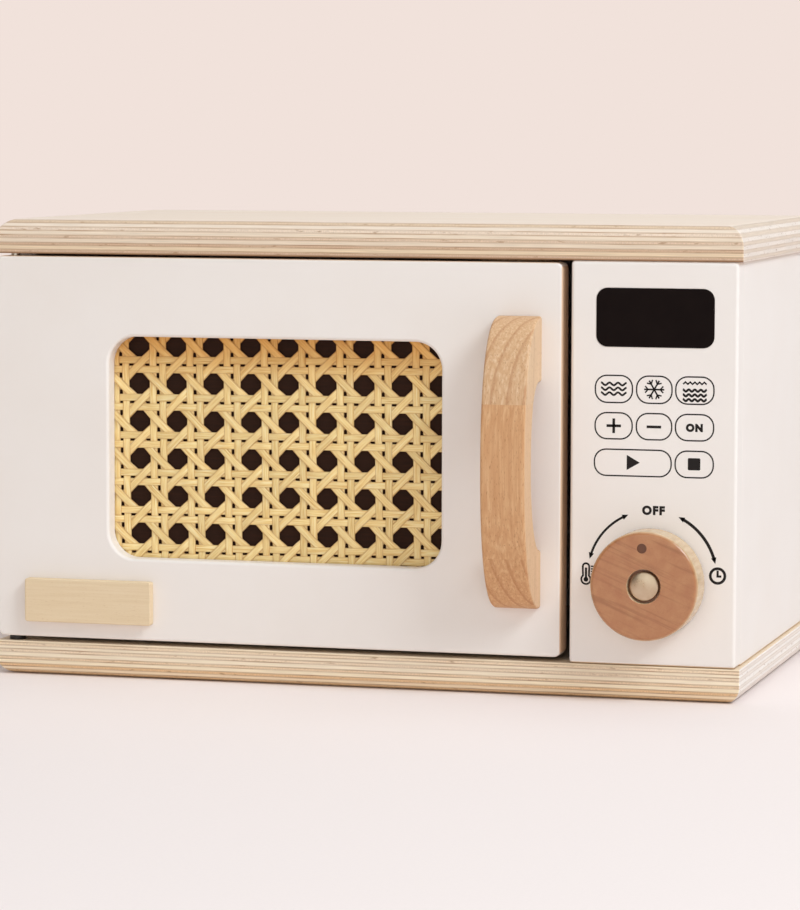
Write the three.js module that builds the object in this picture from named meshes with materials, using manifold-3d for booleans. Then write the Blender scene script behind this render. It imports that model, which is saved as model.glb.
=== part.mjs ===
// A wooden toy microwave: birch plywood base and top, white painted panels between them,
// a door on two hidden pins with a cane window and a bow handle, and a turned beech knob.
// Millimetres. +X to the right, +Y to the back, +Z up. The origin is the middle of the underside.
import * as THREE from "three";
import { mergeVertices } from "three/addons/utils/BufferGeometryUtils.js";
import Module from "manifold-3d";

const wasm = await Module();
wasm.setup();

// Base and top boards
const boardWidth = 332.4;
const boardDepth = 200;
const boardThickness = 15;
const baseEdgeRadius = 7.5;
const topEdgeRadius = 9;

// Painted panels between the boards
const bodyHeight = 170.6;
const sideOverhang = 2;
const backOverhang = 2;
const sideThickness = 12;
const partitionThickness = 9;
const backThickness = 9;
const controlThickness = 12;
const controlWidth = 71.4;
const panelEdgeRadius = 1.5;
const glueLine = 0.1;

// Door and its window
const doorThickness = 12;
const doorLeftReach = 1.3;
const doorRightGap = 3.8;
const doorLowerGap = 2.2;
const doorUpperGap = 1.1;
const doorCornerRadius = 3;
const doorEdgeRadius = 1.5;
const hingeEdgeRadius = 5;
const windowHeight = 97;
const windowCornerRadius = 12;
const windowLeftMargin = 52;
const windowRightMargin = 52.5;
const windowTopMargin = 34.5;
const windowDepth = 7.5;
const rebateMargin = 10;

// Cane webbing and the dark board behind it
const caneThickness = 1.4;
const caneFit = 1;
const caneEdgeStrip = 1.5;
const canePitchX = 17;
const canePitchZ = 16.4;
const caneHoleWidth = 9.2;
const caneHoleHeight = 9;
const caneCrossGap = 1.2;
const caneShiftX = 4.8;
const caneShiftZ = -4.4;
const backingFit = 0.3;

// Hinge pins and the washer under the door
const pinRadius = 2;
const pinInset = 7;
const pinBoardDepth = 10;
const pinDoorDepth = 12;
const pinFit = 0.1;
const sweepClearance = 0.4;
const hingeWasherRadius = 3.6;
const washerFit = 0.15;

// Bow handle
const handleLength = 124;
const handleWidth = 19.3;
const handleProud = 29.5;
const handleArchLength = 71.2;
const handleArchRise = 16.9;
const handleArchDrop = 1.4;
const handleEdgeRadius = 1.6;
const handleRightMargin = 8.8;
const handleDrop = 1;
const crownPower = 2.3;
const archUpperPower = 2.7;
const archLowerPower = 2;

// Bare wooden plate on the door
const plateWidth = 58.2;
const plateHeight = 19;
const plateThickness = 4;
const plateCornerRadius = 1.2;
const plateEdgeRadius = 0.5;
const plateLeftMargin = 14.1;
const plateLowerMargin = 7.1;

// Display plate on the control panel
const displayWidth = 50.2;
const displayHeight = 24.6;
const displayCornerRadius = 4.7;
const displayThickness = 1;
const displayProud = 0.2;
const displayFit = 0.15;
const displayTopMargin = 11.4;
const displayShiftX = 0.4;

// Knob, its bolt and what holds it
const knobRadius = 23;
const knobThickness = 15.2;
const knobStandOff = 0.8;
const knobEdgeRadius = 1.8;
const knobAboveBase = 35.6;
const knobRightMargin = 36.1;
const counterboreDepth = 5;
const dotRadius = 2;
const dotDepth = 0.8;
const dotOffset = 16;
const dotTurnDegrees = 2.8;
const boltRadius = 3;
const boltCapRadius = 6.1;
const boltCapGap = 0.8;
const boltCapSink = 0.6;
const boltDomeHeight = 1;
const boltTail = 2;
const axleFit = 0.1;
const spacerRadius = 9;
const backWasherRadius = 8;
const backWasherThickness = 1.5;
const nutAcrossFlats = 10;
const nutThickness = 5;

// Door catch
const catchBlockWidth = 30;
const catchBlockDepth = 20;
const catchBlockHeight = 18;
const catchFromDoorEdge = 24;
const catchGap = 0.4;
const magnetRadius = 4.5;
const magnetThickness = 4;
const strikeRadius = 5;
const strikeThickness = 1;
const catchFit = 0.15;

// Screws and dowels
const screwRadius = 2;
const screwHeadRadius = 4;
const screwHeadHeight = 2.4;
const screwPointHeight = 3;
const screwSink = 1;
const screwFit = 0.15;
const baseScrewLength = 34;
const backScrewLength = 28;
const handleScrewLength = 24;
const smallScrewRadius = 1.2;
const smallScrewHeadRadius = 2.3;
const smallScrewHeadHeight = 1.2;
const smallScrewLength = 8.5;
const smallScrewSink = 0.2;
const smallScrewFromWindow = 5;
const dowelRadius = 3;
const dowelLength = 24;
const dowelBoardDepth = 10;
const dowelEndGap = 0.5;
const fixingFromEnd = 40;
const backScrewFromEnd = 30;

// Facets, and the overrun of cuts
const roundSteps = 24;
const boreSteps = 12;
const nutSides = 6;
const cornerSteps = 3;
const edgeSteps = 2;
const boardEdgeSteps = 6;
const crownSteps = 24;
const archSteps = 16;
const overrun = 2;

// Places that follow from the sizes
const bodyLeft = -boardWidth / 2 + sideOverhang;
const bodyRight = boardWidth / 2 - sideOverhang;
const bodyFront = -boardDepth / 2;
const bodyBack = boardDepth / 2 - backOverhang;
const bodyLow = boardThickness;
const bodyTop = boardThickness + bodyHeight;
const backFront = bodyBack - backThickness;
const controlLeft = bodyRight - controlWidth;
const controlBack = bodyFront + controlThickness;
const leftSideX = bodyLeft + sideThickness / 2;
const rightSideX = bodyRight - sideThickness / 2;
const partitionX = controlLeft + partitionThickness / 2;

const doorLeft = bodyLeft - doorLeftReach;
const doorRight = controlLeft - doorRightGap;
const doorLow = bodyLow + doorLowerGap;
const doorTop = bodyTop - doorUpperGap;
const doorBack = bodyFront + doorThickness;
const doorX = (doorLeft + doorRight) / 2;
const doorZ = (doorLow + doorTop) / 2;
const windowWidth = doorRight - doorLeft - windowLeftMargin - windowRightMargin;
const windowX = doorRight - windowRightMargin - windowWidth / 2;
const windowZ = doorTop - windowTopMargin - windowHeight / 2;
const rebateFront = bodyFront + windowDepth;
const backingFront = rebateFront + caneThickness + 2 * glueLine;
const backingBack = doorBack - glueLine;

// The door turns on its pins; its two hinge-side edges sweep past the left side panel.
const hingeX = doorLeft + pinInset;
const hingeY = bodyFront + doorThickness / 2;
const cornerReach = (radius) =>
  Math.hypot(pinInset - radius, doorThickness / 2 - radius) + radius;
const hingeReach = Math.max(cornerReach(doorEdgeRadius), cornerReach(hingeEdgeRadius));
const leftSideFront = hingeY + hingeReach + sweepClearance;

const handleX = doorRight - handleRightMargin - handleWidth / 2;
const handleZ = doorZ - handleDrop;
const archZ = handleZ - handleArchDrop;
const footScrewZs = [-1, 1].map(
  (side) => (handleZ + archZ) / 2 + (side * (handleLength + handleArchLength)) / 4,
);

const catchX = doorRight - catchFromDoorEdge;
const catchZ = bodyTop - catchBlockHeight / 2;
const catchFront = doorBack + catchGap;

const displayX = (controlLeft + bodyRight) / 2 + displayShiftX;
const displayZ = bodyTop - displayTopMargin - displayHeight / 2;
const displayPocketDepth = displayThickness - displayProud + glueLine;

const knobX = bodyRight - knobRightMargin;
const knobZ = bodyLow + knobAboveBase;
const knobBack = bodyFront - knobStandOff;
const knobFront = knobBack - knobThickness;
const counterboreRadius = boltCapRadius + boltCapGap;
const backWasherFront = controlBack + glueLine;
const nutFront = backWasherFront + backWasherThickness + glueLine;

const dowelLow = bodyTop + dowelBoardDepth - dowelLength;

// Two screws and two dowels along each upright panel, and two screws into its back edge.
const uprightXs = [leftSideX, partitionX, rightSideX];
const fixingYs = [bodyFront + fixingFromEnd, backFront - fixingFromEnd];
const backScrewZs = [bodyLow + backScrewFromEnd, bodyTop - backScrewFromEnd];
const fixings = uprightXs.flatMap((x) => fixingYs.map((y) => [x, y]));
const backScrews = uprightXs.flatMap((x) => backScrewZs.map((z) => [x, z]));
const backingScrews = [-1, 1].flatMap((sideX) =>
  [-1, 1].map((sideZ) => [
    windowX + sideX * (windowWidth / 2 + smallScrewFromWindow),
    windowZ + sideZ * (windowHeight / 2 + smallScrewFromWindow),
  ]),
);

const birch = new THREE.MeshStandardMaterial({ color: 0xe3cba8, roughness: 0.6, metalness: 0 });
const whitePaint = new THREE.MeshStandardMaterial({ color: 0xf0eae3, roughness: 0.55, metalness: 0 });
const beech = new THREE.MeshStandardMaterial({ color: 0xd9b184, roughness: 0.55, metalness: 0 });
const darkBeech = new THREE.MeshStandardMaterial({ color: 0xb98560, roughness: 0.5, metalness: 0 });
const paleWood = new THREE.MeshStandardMaterial({ color: 0xe4cba5, roughness: 0.6, metalness: 0 });
const cane = new THREE.MeshStandardMaterial({ color: 0xe8cb90, roughness: 0.5, metalness: 0 });
const darkBoard = new THREE.MeshStandardMaterial({ color: 0x2f1f15, roughness: 0.85, metalness: 0 });
const blackGloss = new THREE.MeshStandardMaterial({ color: 0x1c1413, roughness: 0.3, metalness: 0 });
const steel = new THREE.MeshStandardMaterial({ color: 0xc2bcb2, roughness: 0.32, metalness: 1 });
const felt = new THREE.MeshStandardMaterial({ color: 0xcdbfae, roughness: 0.95, metalness: 0 });
const nylon = new THREE.MeshStandardMaterial({ color: 0x2a2320, roughness: 0.45, metalness: 0 });

// Turns a closed geometry into a solid that can be joined and cut.
function solid(geometry) {
  const bare = new THREE.BufferGeometry();
  bare.setAttribute("position", geometry.getAttribute("position"));
  bare.setIndex(geometry.index);
  const merged = mergeVertices(bare);
  return new wasm.Manifold(
    new wasm.Mesh({
      numProp: 3,
      vertProperties: merged.attributes.position.array,
      triVerts: new Uint32Array(merged.index.array),
    }),
  );
}

// Cuts the tools out of a body.
function cut(body, tools) {
  let left = solid(body);
  for (const tool of tools) left = left.subtract(solid(tool));
  const mesh = left.getMesh();
  const geometry = new THREE.BufferGeometry();
  geometry.setAttribute("position", new THREE.BufferAttribute(mesh.vertProperties, 3));
  geometry.setIndex(new THREE.BufferAttribute(mesh.triVerts, 1));
  const faceted = geometry.toNonIndexed();
  faceted.computeVertexNormals();
  return faceted;
}

// A box between two corners.
function block(x0, x1, y0, y1, z0, z1) {
  const box = new THREE.BoxGeometry(x1 - x0, y1 - y0, z1 - z0);
  return box.translate((x0 + x1) / 2, (y0 + y1) / 2, (z0 + z1) / 2);
}

// A rectangle with a radius of its own at each corner, anticlockwise from the low left one.
function roundedRectangle(width, height, radii, centreX = 0, centreY = 0) {
  const shape = new THREE.Shape();
  const corners = [
    [-1, -1],
    [1, -1],
    [1, 1],
    [-1, 1],
  ];
  corners.forEach(([sideX, sideY], index) => {
    const radius = radii[index];
    const x = centreX + sideX * (width / 2 - radius);
    const y = centreY + sideY * (height / 2 - radius);
    const start = Math.PI + (index * Math.PI) / 2;
    shape.absarc(x, y, radius, start, start + Math.PI / 2, false);
  });
  shape.closePath();
  return shape;
}

const allFour = (radius) => [radius, radius, radius, radius];

// A shape or shapes drawn on X and Z, given their thickness from the plane y = front towards the back.
function plate(shape, front, thickness, edgeRadius = 0) {
  return new THREE.ExtrudeGeometry(shape, {
    depth: thickness - 2 * edgeRadius,
    bevelEnabled: edgeRadius > 0,
    bevelThickness: edgeRadius,
    bevelSize: edgeRadius,
    bevelOffset: -edgeRadius,
    bevelSegments: edgeSteps,
    curveSegments: cornerSteps,
  })
    .rotateX(Math.PI / 2)
    .translate(0, front + thickness - edgeRadius, 0);
}

// A shape drawn on X and Y, raised from z = low.
function prism(shape, low, height) {
  return new THREE.ExtrudeGeometry(shape, {
    depth: height,
    bevelEnabled: false,
    curveSegments: cornerSteps,
  }).translate(0, 0, low);
}

// A round bar or bore, upright from z = low.
function uprightBar(radius, x, y, low, height) {
  return new THREE.CylinderGeometry(radius, radius, height, boreSteps)
    .rotateX(Math.PI / 2)
    .translate(x, y, low + height / 2);
}

// A round bar or bore along Y, from y = front.
function levelBar(radius, x, z, front, depth, steps = roundSteps) {
  const bar = new THREE.CylinderGeometry(radius, radius, depth, steps);
  return bar.translate(x, front + depth / 2, z);
}

// A piece turned about +Y from a profile of [radius, distance] points.
function turned(profile, steps = roundSteps) {
  const points = profile.map(([radius, along]) => new THREE.Vector2(radius, along));
  return new THREE.LatheGeometry(points, steps);
}

// A flat ring around +Y, from y = 0 to its thickness.
function ring(innerRadius, outerRadius, thickness) {
  return turned([
    [innerRadius, 0],
    [outerRadius, 0],
    [outerRadius, thickness],
    [innerRadius, thickness],
    [innerRadius, 0],
  ]);
}

const upward = (geometry, x, y, z) => geometry.rotateX(Math.PI / 2).translate(x, y, z);
const towardsFront = (geometry, x, y, z) => geometry.rotateX(Math.PI).translate(x, y, z);

// A countersunk screw along +Y, the flat of its head at y = 0.
function screw(length, radius, headRadius, headHeight) {
  const profile = [
    [0, 0],
    [headRadius, 0],
    [radius, headHeight],
    [radius, length - screwPointHeight],
    [0, length],
  ];
  return turned(profile, boreSteps);
}

// The hole for such a screw, wider by the fit and open past the head.
function screwHole(length, radius, headRadius, headHeight) {
  const opening = -screwSink - overrun;
  const profile = [
    [0, opening],
    [headRadius + screwFit, opening],
    [headRadius + screwFit, 0],
    [radius + screwFit, headHeight],
    [radius + screwFit, length + screwFit],
    [0, length + screwFit],
  ];
  return turned(profile, boreSteps);
}

const baseScrew = () => screw(baseScrewLength, screwRadius, screwHeadRadius, screwHeadHeight);
const backScrew = () => screw(backScrewLength, screwRadius, screwHeadRadius, screwHeadHeight);
const handleScrew = () => screw(handleScrewLength, screwRadius, screwHeadRadius, screwHeadHeight);
const backingScrew = () =>
  screw(smallScrewLength, smallScrewRadius, smallScrewHeadRadius, smallScrewHeadHeight);

const baseScrewHole = (x, y) =>
  upward(screwHole(baseScrewLength, screwRadius, screwHeadRadius, screwHeadHeight), x, y, screwSink);
const backScrewHole = (x, z) =>
  towardsFront(
    screwHole(backScrewLength, screwRadius, screwHeadRadius, screwHeadHeight),
    x,
    bodyBack - screwSink,
    z,
  );
const handleScrewHole = (z) =>
  towardsFront(
    screwHole(handleScrewLength, screwRadius, screwHeadRadius, screwHeadHeight),
    handleX,
    doorBack - screwSink,
    z,
  );
const backingScrewHole = (x, z) =>
  towardsFront(
    screwHole(smallScrewLength, smallScrewRadius, smallScrewHeadRadius, smallScrewHeadHeight),
    x,
    backingBack - smallScrewSink,
    z,
  );
const dowelHole = (x, y) =>
  uprightBar(dowelRadius + screwFit, x, y, dowelLow - dowelEndGap, dowelLength + 2 * dowelEndGap);

// A board whose upper edges are rounded over all round, mitred at its sharp upright corners.
function roundedBoard(radius) {
  const levels = [[0, 0]];
  for (let i = 0; i <= boardEdgeSteps; i++) {
    const turn = ((i / boardEdgeSteps) * Math.PI) / 2;
    const inset = radius * (1 - Math.cos(turn));
    levels.push([inset, boardThickness - radius * (1 - Math.sin(turn))]);
  }
  const positions = [];
  for (const [inset, z] of levels) {
    const x = boardWidth / 2 - inset;
    const y = boardDepth / 2 - inset;
    positions.push(-x, -y, z, x, -y, z, x, y, z, -x, y, z);
  }
  const faces = [0, 2, 1, 0, 3, 2];
  for (let level = 0; level < levels.length - 1; level++) {
    for (let side = 0; side < 4; side++) {
      const a = level * 4 + side;
      const b = level * 4 + ((side + 1) % 4);
      faces.push(a, b, b + 4, a, b + 4, a + 4);
    }
  }
  const last = (levels.length - 1) * 4;
  faces.push(last, last + 1, last + 2, last, last + 2, last + 3);
  const geometry = new THREE.BufferGeometry();
  geometry.setAttribute("position", new THREE.Float32BufferAttribute(positions, 3));
  geometry.setIndex(faces);
  return geometry;
}

const pinHole = (low) => uprightBar(pinRadius + pinFit, hingeX, hingeY, low, pinBoardDepth + overrun);

// The base is such a board turned over, so its rounded edges are the lower ones.
function baseBoard() {
  const body = roundedBoard(baseEdgeRadius).rotateX(Math.PI).translate(0, 0, boardThickness);
  const holes = fixings.map(([x, y]) => baseScrewHole(x, y));
  return cut(body, [...holes, pinHole(bodyLow - pinBoardDepth - pinFit)]);
}

function topBoard() {
  const body = roundedBoard(topEdgeRadius).translate(0, 0, bodyTop);
  const holes = fixings.map(([x, y]) => dowelHole(x, y));
  return cut(body, [...holes, pinHole(bodyTop + pinFit - overrun)]);
}

// An upright panel between the boards, with its screw and dowel holes.
function uprightPanel(x, thickness, front) {
  const body = block(
    x - thickness / 2,
    x + thickness / 2,
    front,
    backFront - glueLine,
    bodyLow + glueLine,
    bodyTop - glueLine,
  );
  const upright = fixingYs.flatMap((y) => [baseScrewHole(x, y), dowelHole(x, y)]);
  const level = backScrewZs.map((z) => backScrewHole(x, z));
  return cut(body, [...upright, ...level]);
}

function backPanel() {
  const low = bodyLow + glueLine;
  const top = bodyTop - glueLine;
  const body = block(bodyLeft, bodyRight, backFront, bodyBack, low, top);
  return cut(
    body,
    backScrews.map(([x, z]) => backScrewHole(x, z)),
  );
}

// The control panel: eased front corners, a pocket for the display, a hole for the knob's bolt.
function controlPanel() {
  const plan = roundedRectangle(
    controlWidth,
    controlThickness,
    [panelEdgeRadius, panelEdgeRadius, 0, 0],
    (controlLeft + bodyRight) / 2,
    bodyFront + controlThickness / 2,
  );
  const body = prism(plan, bodyLow + glueLine, bodyHeight - 2 * glueLine);
  const pocket = plate(
    roundedRectangle(
      displayWidth + 2 * displayFit,
      displayHeight + 2 * displayFit,
      allFour(displayCornerRadius + displayFit),
      displayX,
      displayZ,
    ),
    bodyFront - overrun,
    displayPocketDepth + overrun,
  );
  const through = controlThickness + 2 * overrun;
  return cut(body, [pocket, levelBar(boltRadius + axleFit, knobX, knobZ, bodyFront - overrun, through)]);
}

function displayPlate() {
  const shape = roundedRectangle(
    displayWidth,
    displayHeight,
    allFour(displayCornerRadius),
    displayX,
    displayZ,
  );
  return plate(shape, bodyFront - displayProud, displayThickness);
}

// A hardwood block under the top board, bored for the magnet that faces the door.
function catchBlock() {
  const body = block(
    catchX - catchBlockWidth / 2,
    catchX + catchBlockWidth / 2,
    catchFront,
    catchFront + catchBlockDepth,
    bodyTop - catchBlockHeight,
    bodyTop - glueLine,
  );
  const depth = magnetThickness + catchFit + overrun;
  return cut(body, [levelBar(magnetRadius + catchFit, catchX, catchZ, catchFront - overrun, depth)]);
}

// What is cut from the hinge side's back edge, so that it clears the left side panel as it turns.
function hingeEdgeCut() {
  const shape = new THREE.Shape();
  shape.moveTo(doorLeft - overrun, doorBack - hingeEdgeRadius);
  shape.absarc(
    doorLeft + hingeEdgeRadius,
    doorBack - hingeEdgeRadius,
    hingeEdgeRadius,
    Math.PI,
    Math.PI / 2,
    true,
  );
  shape.lineTo(doorLeft + hingeEdgeRadius, doorBack + overrun);
  shape.lineTo(doorLeft - overrun, doorBack + overrun);
  shape.closePath();
  return prism(shape, doorLow - overrun, doorTop - doorLow + 2 * overrun);
}

// The window's area grown by a margin, as a block through part of the door's thickness.
function aroundWindow(margin, front, back) {
  const halfX = windowWidth / 2 + margin;
  const halfZ = windowHeight / 2 + margin;
  return block(windowX - halfX, windowX + halfX, front, back, windowZ - halfZ, windowZ + halfZ);
}

// The door: eased edges, the window with its rebate, bores for both pins, a seat for the strike
// and holes for the screws of the handle and of the board behind the cane.
function doorFrame() {
  const outline = roundedRectangle(
    doorRight - doorLeft,
    doorTop - doorLow,
    allFour(doorCornerRadius),
    doorX,
    doorZ,
  );
  outline.holes.push(
    roundedRectangle(windowWidth, windowHeight, allFour(windowCornerRadius), windowX, windowZ),
  );
  const bore = pinDoorDepth + pinFit + overrun;
  const seatDepth = strikeThickness + catchFit;
  return cut(plate(outline, bodyFront, doorThickness, doorEdgeRadius), [
    hingeEdgeCut(),
    aroundWindow(rebateMargin, rebateFront, doorBack + overrun),
    uprightBar(pinRadius + pinFit, hingeX, hingeY, doorLow - overrun, bore),
    uprightBar(pinRadius + pinFit, hingeX, hingeY, doorTop - pinDoorDepth - pinFit, bore),
    levelBar(strikeRadius + catchFit, catchX, catchZ, doorBack - seatDepth, seatDepth + overrun),
    ...footScrewZs.map((z) => handleScrewHole(z)),
    ...backingScrews.map(([x, z]) => backingScrewHole(x, z)),
  ]);
}

// An eight-sided hole of the webbing, its corners left by the slanting strands.
function caneHole(x, z) {
  const cornerShare = 1 - Math.SQRT1_2;
  const halfX = caneHoleWidth / 2;
  const halfZ = caneHoleHeight / 2;
  const flatX = halfX * (1 - 2 * cornerShare);
  const flatZ = halfZ * (1 - 2 * cornerShare);
  return closedShape(x, z, [
    [flatX, -halfZ],
    [halfX, -flatZ],
    [halfX, flatZ],
    [flatX, halfZ],
    [-flatX, halfZ],
    [-halfX, flatZ],
    [-halfX, -flatZ],
    [-flatX, -halfZ],
  ]);
}

// The small square gap where two upright and two level strands cross.
function crossGap(x, z) {
  const half = caneCrossGap / 2;
  return closedShape(x, z, [
    [-half, -half],
    [half, -half],
    [half, half],
    [-half, half],
  ]);
}

function closedShape(x, z, corners) {
  return new THREE.Shape(corners.map(([px, pz]) => new THREE.Vector2(x + px, z + pz)));
}

// Every place of a pattern that fits between -reach and +reach.
function patternPlaces(shift, pitch, reach) {
  const places = [];
  for (let i = Math.ceil((-reach - shift) / pitch); shift + i * pitch <= reach; i++) {
    places.push(shift + i * pitch);
  }
  return places;
}

// The cane webbing as a flat net: eight-sided holes across the whole sheet, and in the window
// a small gap wherever the strands cross.
function caneWebbing() {
  const margin = rebateMargin - caneFit;
  const reachX = windowWidth / 2 + margin - caneHoleWidth / 2 - caneEdgeStrip;
  const reachZ = windowHeight / 2 + margin - caneHoleHeight / 2 - caneEdgeStrip;
  const holeXs = patternPlaces(caneShiftX, canePitchX, reachX);
  const holeZs = patternPlaces(caneShiftZ, canePitchZ, reachZ);
  const crossXs = patternPlaces(caneShiftX + canePitchX / 2, canePitchX, windowWidth / 2);
  const crossZs = patternPlaces(caneShiftZ + canePitchZ / 2, canePitchZ, windowHeight / 2);
  const gaps = [
    ...holeXs.flatMap((x) => holeZs.map((z) => caneHole(windowX + x, windowZ + z))),
    ...crossXs.flatMap((x) => crossZs.map((z) => crossGap(windowX + x, windowZ + z))),
  ];
  const front = rebateFront + glueLine;
  return cut(aroundWindow(margin, front, front + caneThickness), [
    plate(gaps, front - overrun, caneThickness + 2 * overrun),
    ...backingScrews.map(([x, z]) => backingScrewHole(x, z)),
  ]);
}

function caneBackingBoard() {
  return cut(
    aroundWindow(rebateMargin - backingFit, backingFront, backingBack),
    backingScrews.map(([x, z]) => backingScrewHole(x, z)),
  );
}

// Half of a flattened oval as [height, along] points, from its upper end to its lower one.
function bowPoints(length, rise, upperPower, lowerPower, steps) {
  const points = [];
  for (let i = 0; i <= steps; i++) {
    const turn = (i / steps) * Math.PI;
    const side = Math.sign(Math.cos(turn));
    const power = side > 0 ? upperPower : lowerPower;
    const along = side * Math.abs(Math.cos(turn)) ** (2 / power);
    const height = Math.max(Math.sin(turn), 0) ** (2 / power);
    points.push(new THREE.Vector2(rise * height, (length / 2) * along));
  }
  return points;
}

// The handle: a bow on two feet, drawn from its side, given its width and cut flat at the door.
function handle() {
  const crown = bowPoints(handleLength, handleProud, crownPower, crownPower, crownSteps);
  const arch = bowPoints(handleArchLength, handleArchRise, archUpperPower, archLowerPower, archSteps);
  for (const point of arch) point.y -= handleArchDrop;
  arch.reverse();
  const behind = (point) => new THREE.Vector2(-overrun, point.y);
  const shape = new THREE.Shape([
    behind(crown[0]),
    ...crown,
    behind(crown[crownSteps]),
    behind(arch[0]),
    ...arch,
    behind(arch[archSteps]),
  ]);
  const forward = new THREE.Vector3(0, -1, 0);
  const up = new THREE.Vector3(0, 0, 1);
  const left = new THREE.Vector3(-1, 0, 0);
  const body = new THREE.ExtrudeGeometry(shape, {
    depth: handleWidth - 2 * handleEdgeRadius,
    bevelEnabled: true,
    bevelThickness: handleEdgeRadius,
    bevelSize: handleEdgeRadius,
    bevelOffset: -handleEdgeRadius,
    bevelSegments: edgeSteps,
  })
    .applyMatrix4(new THREE.Matrix4().makeBasis(forward, up, left))
    .translate(handleX + handleWidth / 2 - handleEdgeRadius, bodyFront - glueLine, handleZ);
  const behindDoorFace = block(
    handleX - handleWidth,
    handleX + handleWidth,
    bodyFront - glueLine,
    doorBack,
    handleZ - handleLength,
    handleZ + handleLength,
  );
  return cut(body, [behindDoorFace, ...footScrewZs.map((z) => handleScrewHole(z))]);
}

function namePlate() {
  const shape = roundedRectangle(
    plateWidth,
    plateHeight,
    allFour(plateCornerRadius),
    doorLeft + plateLeftMargin + plateWidth / 2,
    doorLow + plateLowerMargin + plateHeight / 2,
  );
  return plate(shape, bodyFront - glueLine - plateThickness, plateThickness, plateEdgeRadius);
}

// A quarter round between two faces of the knob, as [radius, distance] points.
function knobRim(centre, start) {
  const points = [];
  for (let i = 0; i <= edgeSteps; i++) {
    const turn = start + ((i / edgeSteps) * Math.PI) / 2;
    const radius = knobRadius - knobEdgeRadius * (1 - Math.cos(turn));
    points.push([radius, centre + knobEdgeRadius * Math.sin(turn)]);
  }
  return points;
}

// The knob, turned about Y: rounded rims, a counterbore for the bolt's cap, a bore and a drilled dot.
function knob() {
  const floor = counterboreDepth - knobThickness;
  const bore = boltRadius + axleFit;
  const body = turned(
    [
      [bore, floor],
      [counterboreRadius, floor],
      [counterboreRadius, -knobThickness],
      ...knobRim(knobEdgeRadius - knobThickness, -Math.PI / 2),
      ...knobRim(-knobEdgeRadius, 0),
      [bore, 0],
      [bore, floor],
    ],
    2 * roundSteps,
  ).translate(knobX, knobBack, knobZ);
  const turn = THREE.MathUtils.degToRad(dotTurnDegrees);
  const dotX = knobX - dotOffset * Math.sin(turn);
  const dotZ = knobZ + dotOffset * Math.cos(turn);
  return cut(body, [
    levelBar(dotRadius, dotX, dotZ, knobFront - overrun, dotDepth + overrun, boreSteps),
  ]);
}

// The bolt: a low domed cap in the counterbore, a shank through knob, panel, washer and nut.
function knobBolt() {
  const capHeight = counterboreDepth - boltCapSink - glueLine;
  const dome = [];
  for (let i = 0; i <= edgeSteps; i++) {
    const turn = ((i / edgeSteps) * Math.PI) / 2;
    const crown = boltDomeHeight * (1 - Math.cos(turn));
    dome.push([boltCapRadius * Math.sin(turn), crown - capHeight]);
  }
  const seat = knobFront + counterboreDepth - glueLine;
  const shankLength = nutFront + nutThickness + boltTail - seat;
  return turned([
    ...dome,
    [boltCapRadius, 0],
    [boltRadius, 0],
    [boltRadius, shankLength],
    [0, shankLength],
  ]).translate(knobX, seat, knobZ);
}

function lockNut() {
  const cornerRadius = nutAcrossFlats / 2 / Math.cos(Math.PI / nutSides);
  const body = levelBar(cornerRadius, knobX, knobZ, nutFront, nutThickness, nutSides);
  const bore = nutThickness + 2 * overrun;
  return cut(body, [levelBar(boltRadius + axleFit, knobX, knobZ, nutFront - overrun, bore)]);
}

const microwave = new THREE.Group();
const cabinet = new THREE.Group();
const door = new THREE.Group();
const knobSet = new THREE.Group();
door.position.set(hingeX, hingeY, 0);
knobSet.position.set(knobX, bodyFront, knobZ);
microwave.add(cabinet, door, knobSet);

// Adds a piece that is drawn where it lies, whatever the place of its group.
function place(group, name, geometry, material) {
  const mesh = new THREE.Mesh(geometry, material);
  mesh.name = name;
  mesh.position.copy(group.position).negate();
  group.add(mesh);
}

const sideFront = controlBack + glueLine;
place(cabinet, "base_board", baseBoard(), birch);
place(cabinet, "top_board", topBoard(), birch);
place(cabinet, "left_side_panel", uprightPanel(leftSideX, sideThickness, leftSideFront), whitePaint);
place(cabinet, "right_side_panel", uprightPanel(rightSideX, sideThickness, sideFront), whitePaint);
place(cabinet, "inner_partition", uprightPanel(partitionX, partitionThickness, sideFront), whitePaint);
place(cabinet, "back_panel", backPanel(), whitePaint);
place(cabinet, "control_panel", controlPanel(), whitePaint);
place(cabinet, "display_plate", displayPlate(), blackGloss);
place(cabinet, "catch_block", catchBlock(), beech);
place(cabinet, "catch_magnet", levelBar(magnetRadius, catchX, catchZ, catchFront, magnetThickness), steel);

fixings.forEach(([x, y], index) => {
  place(cabinet, "base_screw_" + (index + 1), upward(baseScrew(), x, y, screwSink), steel);
  place(cabinet, "top_dowel_" + (index + 1), uprightBar(dowelRadius, x, y, dowelLow, dowelLength), beech);
});
backScrews.forEach(([x, z], index) => {
  const body = towardsFront(backScrew(), x, bodyBack - screwSink, z);
  place(cabinet, "back_screw_" + (index + 1), body, steel);
});

const lowerPinLow = bodyLow - pinBoardDepth;
const lowerPinLength = pinBoardDepth + doorLowerGap + pinDoorDepth;
const upperPinLow = doorTop - pinDoorDepth;
const upperPinLength = pinBoardDepth + doorUpperGap + pinDoorDepth;
const lowerPin = uprightBar(pinRadius, hingeX, hingeY, lowerPinLow, lowerPinLength);
const upperPin = uprightBar(pinRadius, hingeX, hingeY, upperPinLow, upperPinLength);
const hingeWasher = ring(pinRadius + pinFit, hingeWasherRadius, doorLowerGap - 2 * washerFit);
place(cabinet, "lower_hinge_pin", lowerPin, steel);
place(cabinet, "upper_hinge_pin", upperPin, steel);
place(cabinet, "hinge_washer", upward(hingeWasher, hingeX, hingeY, bodyLow + washerFit), nylon);

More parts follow.
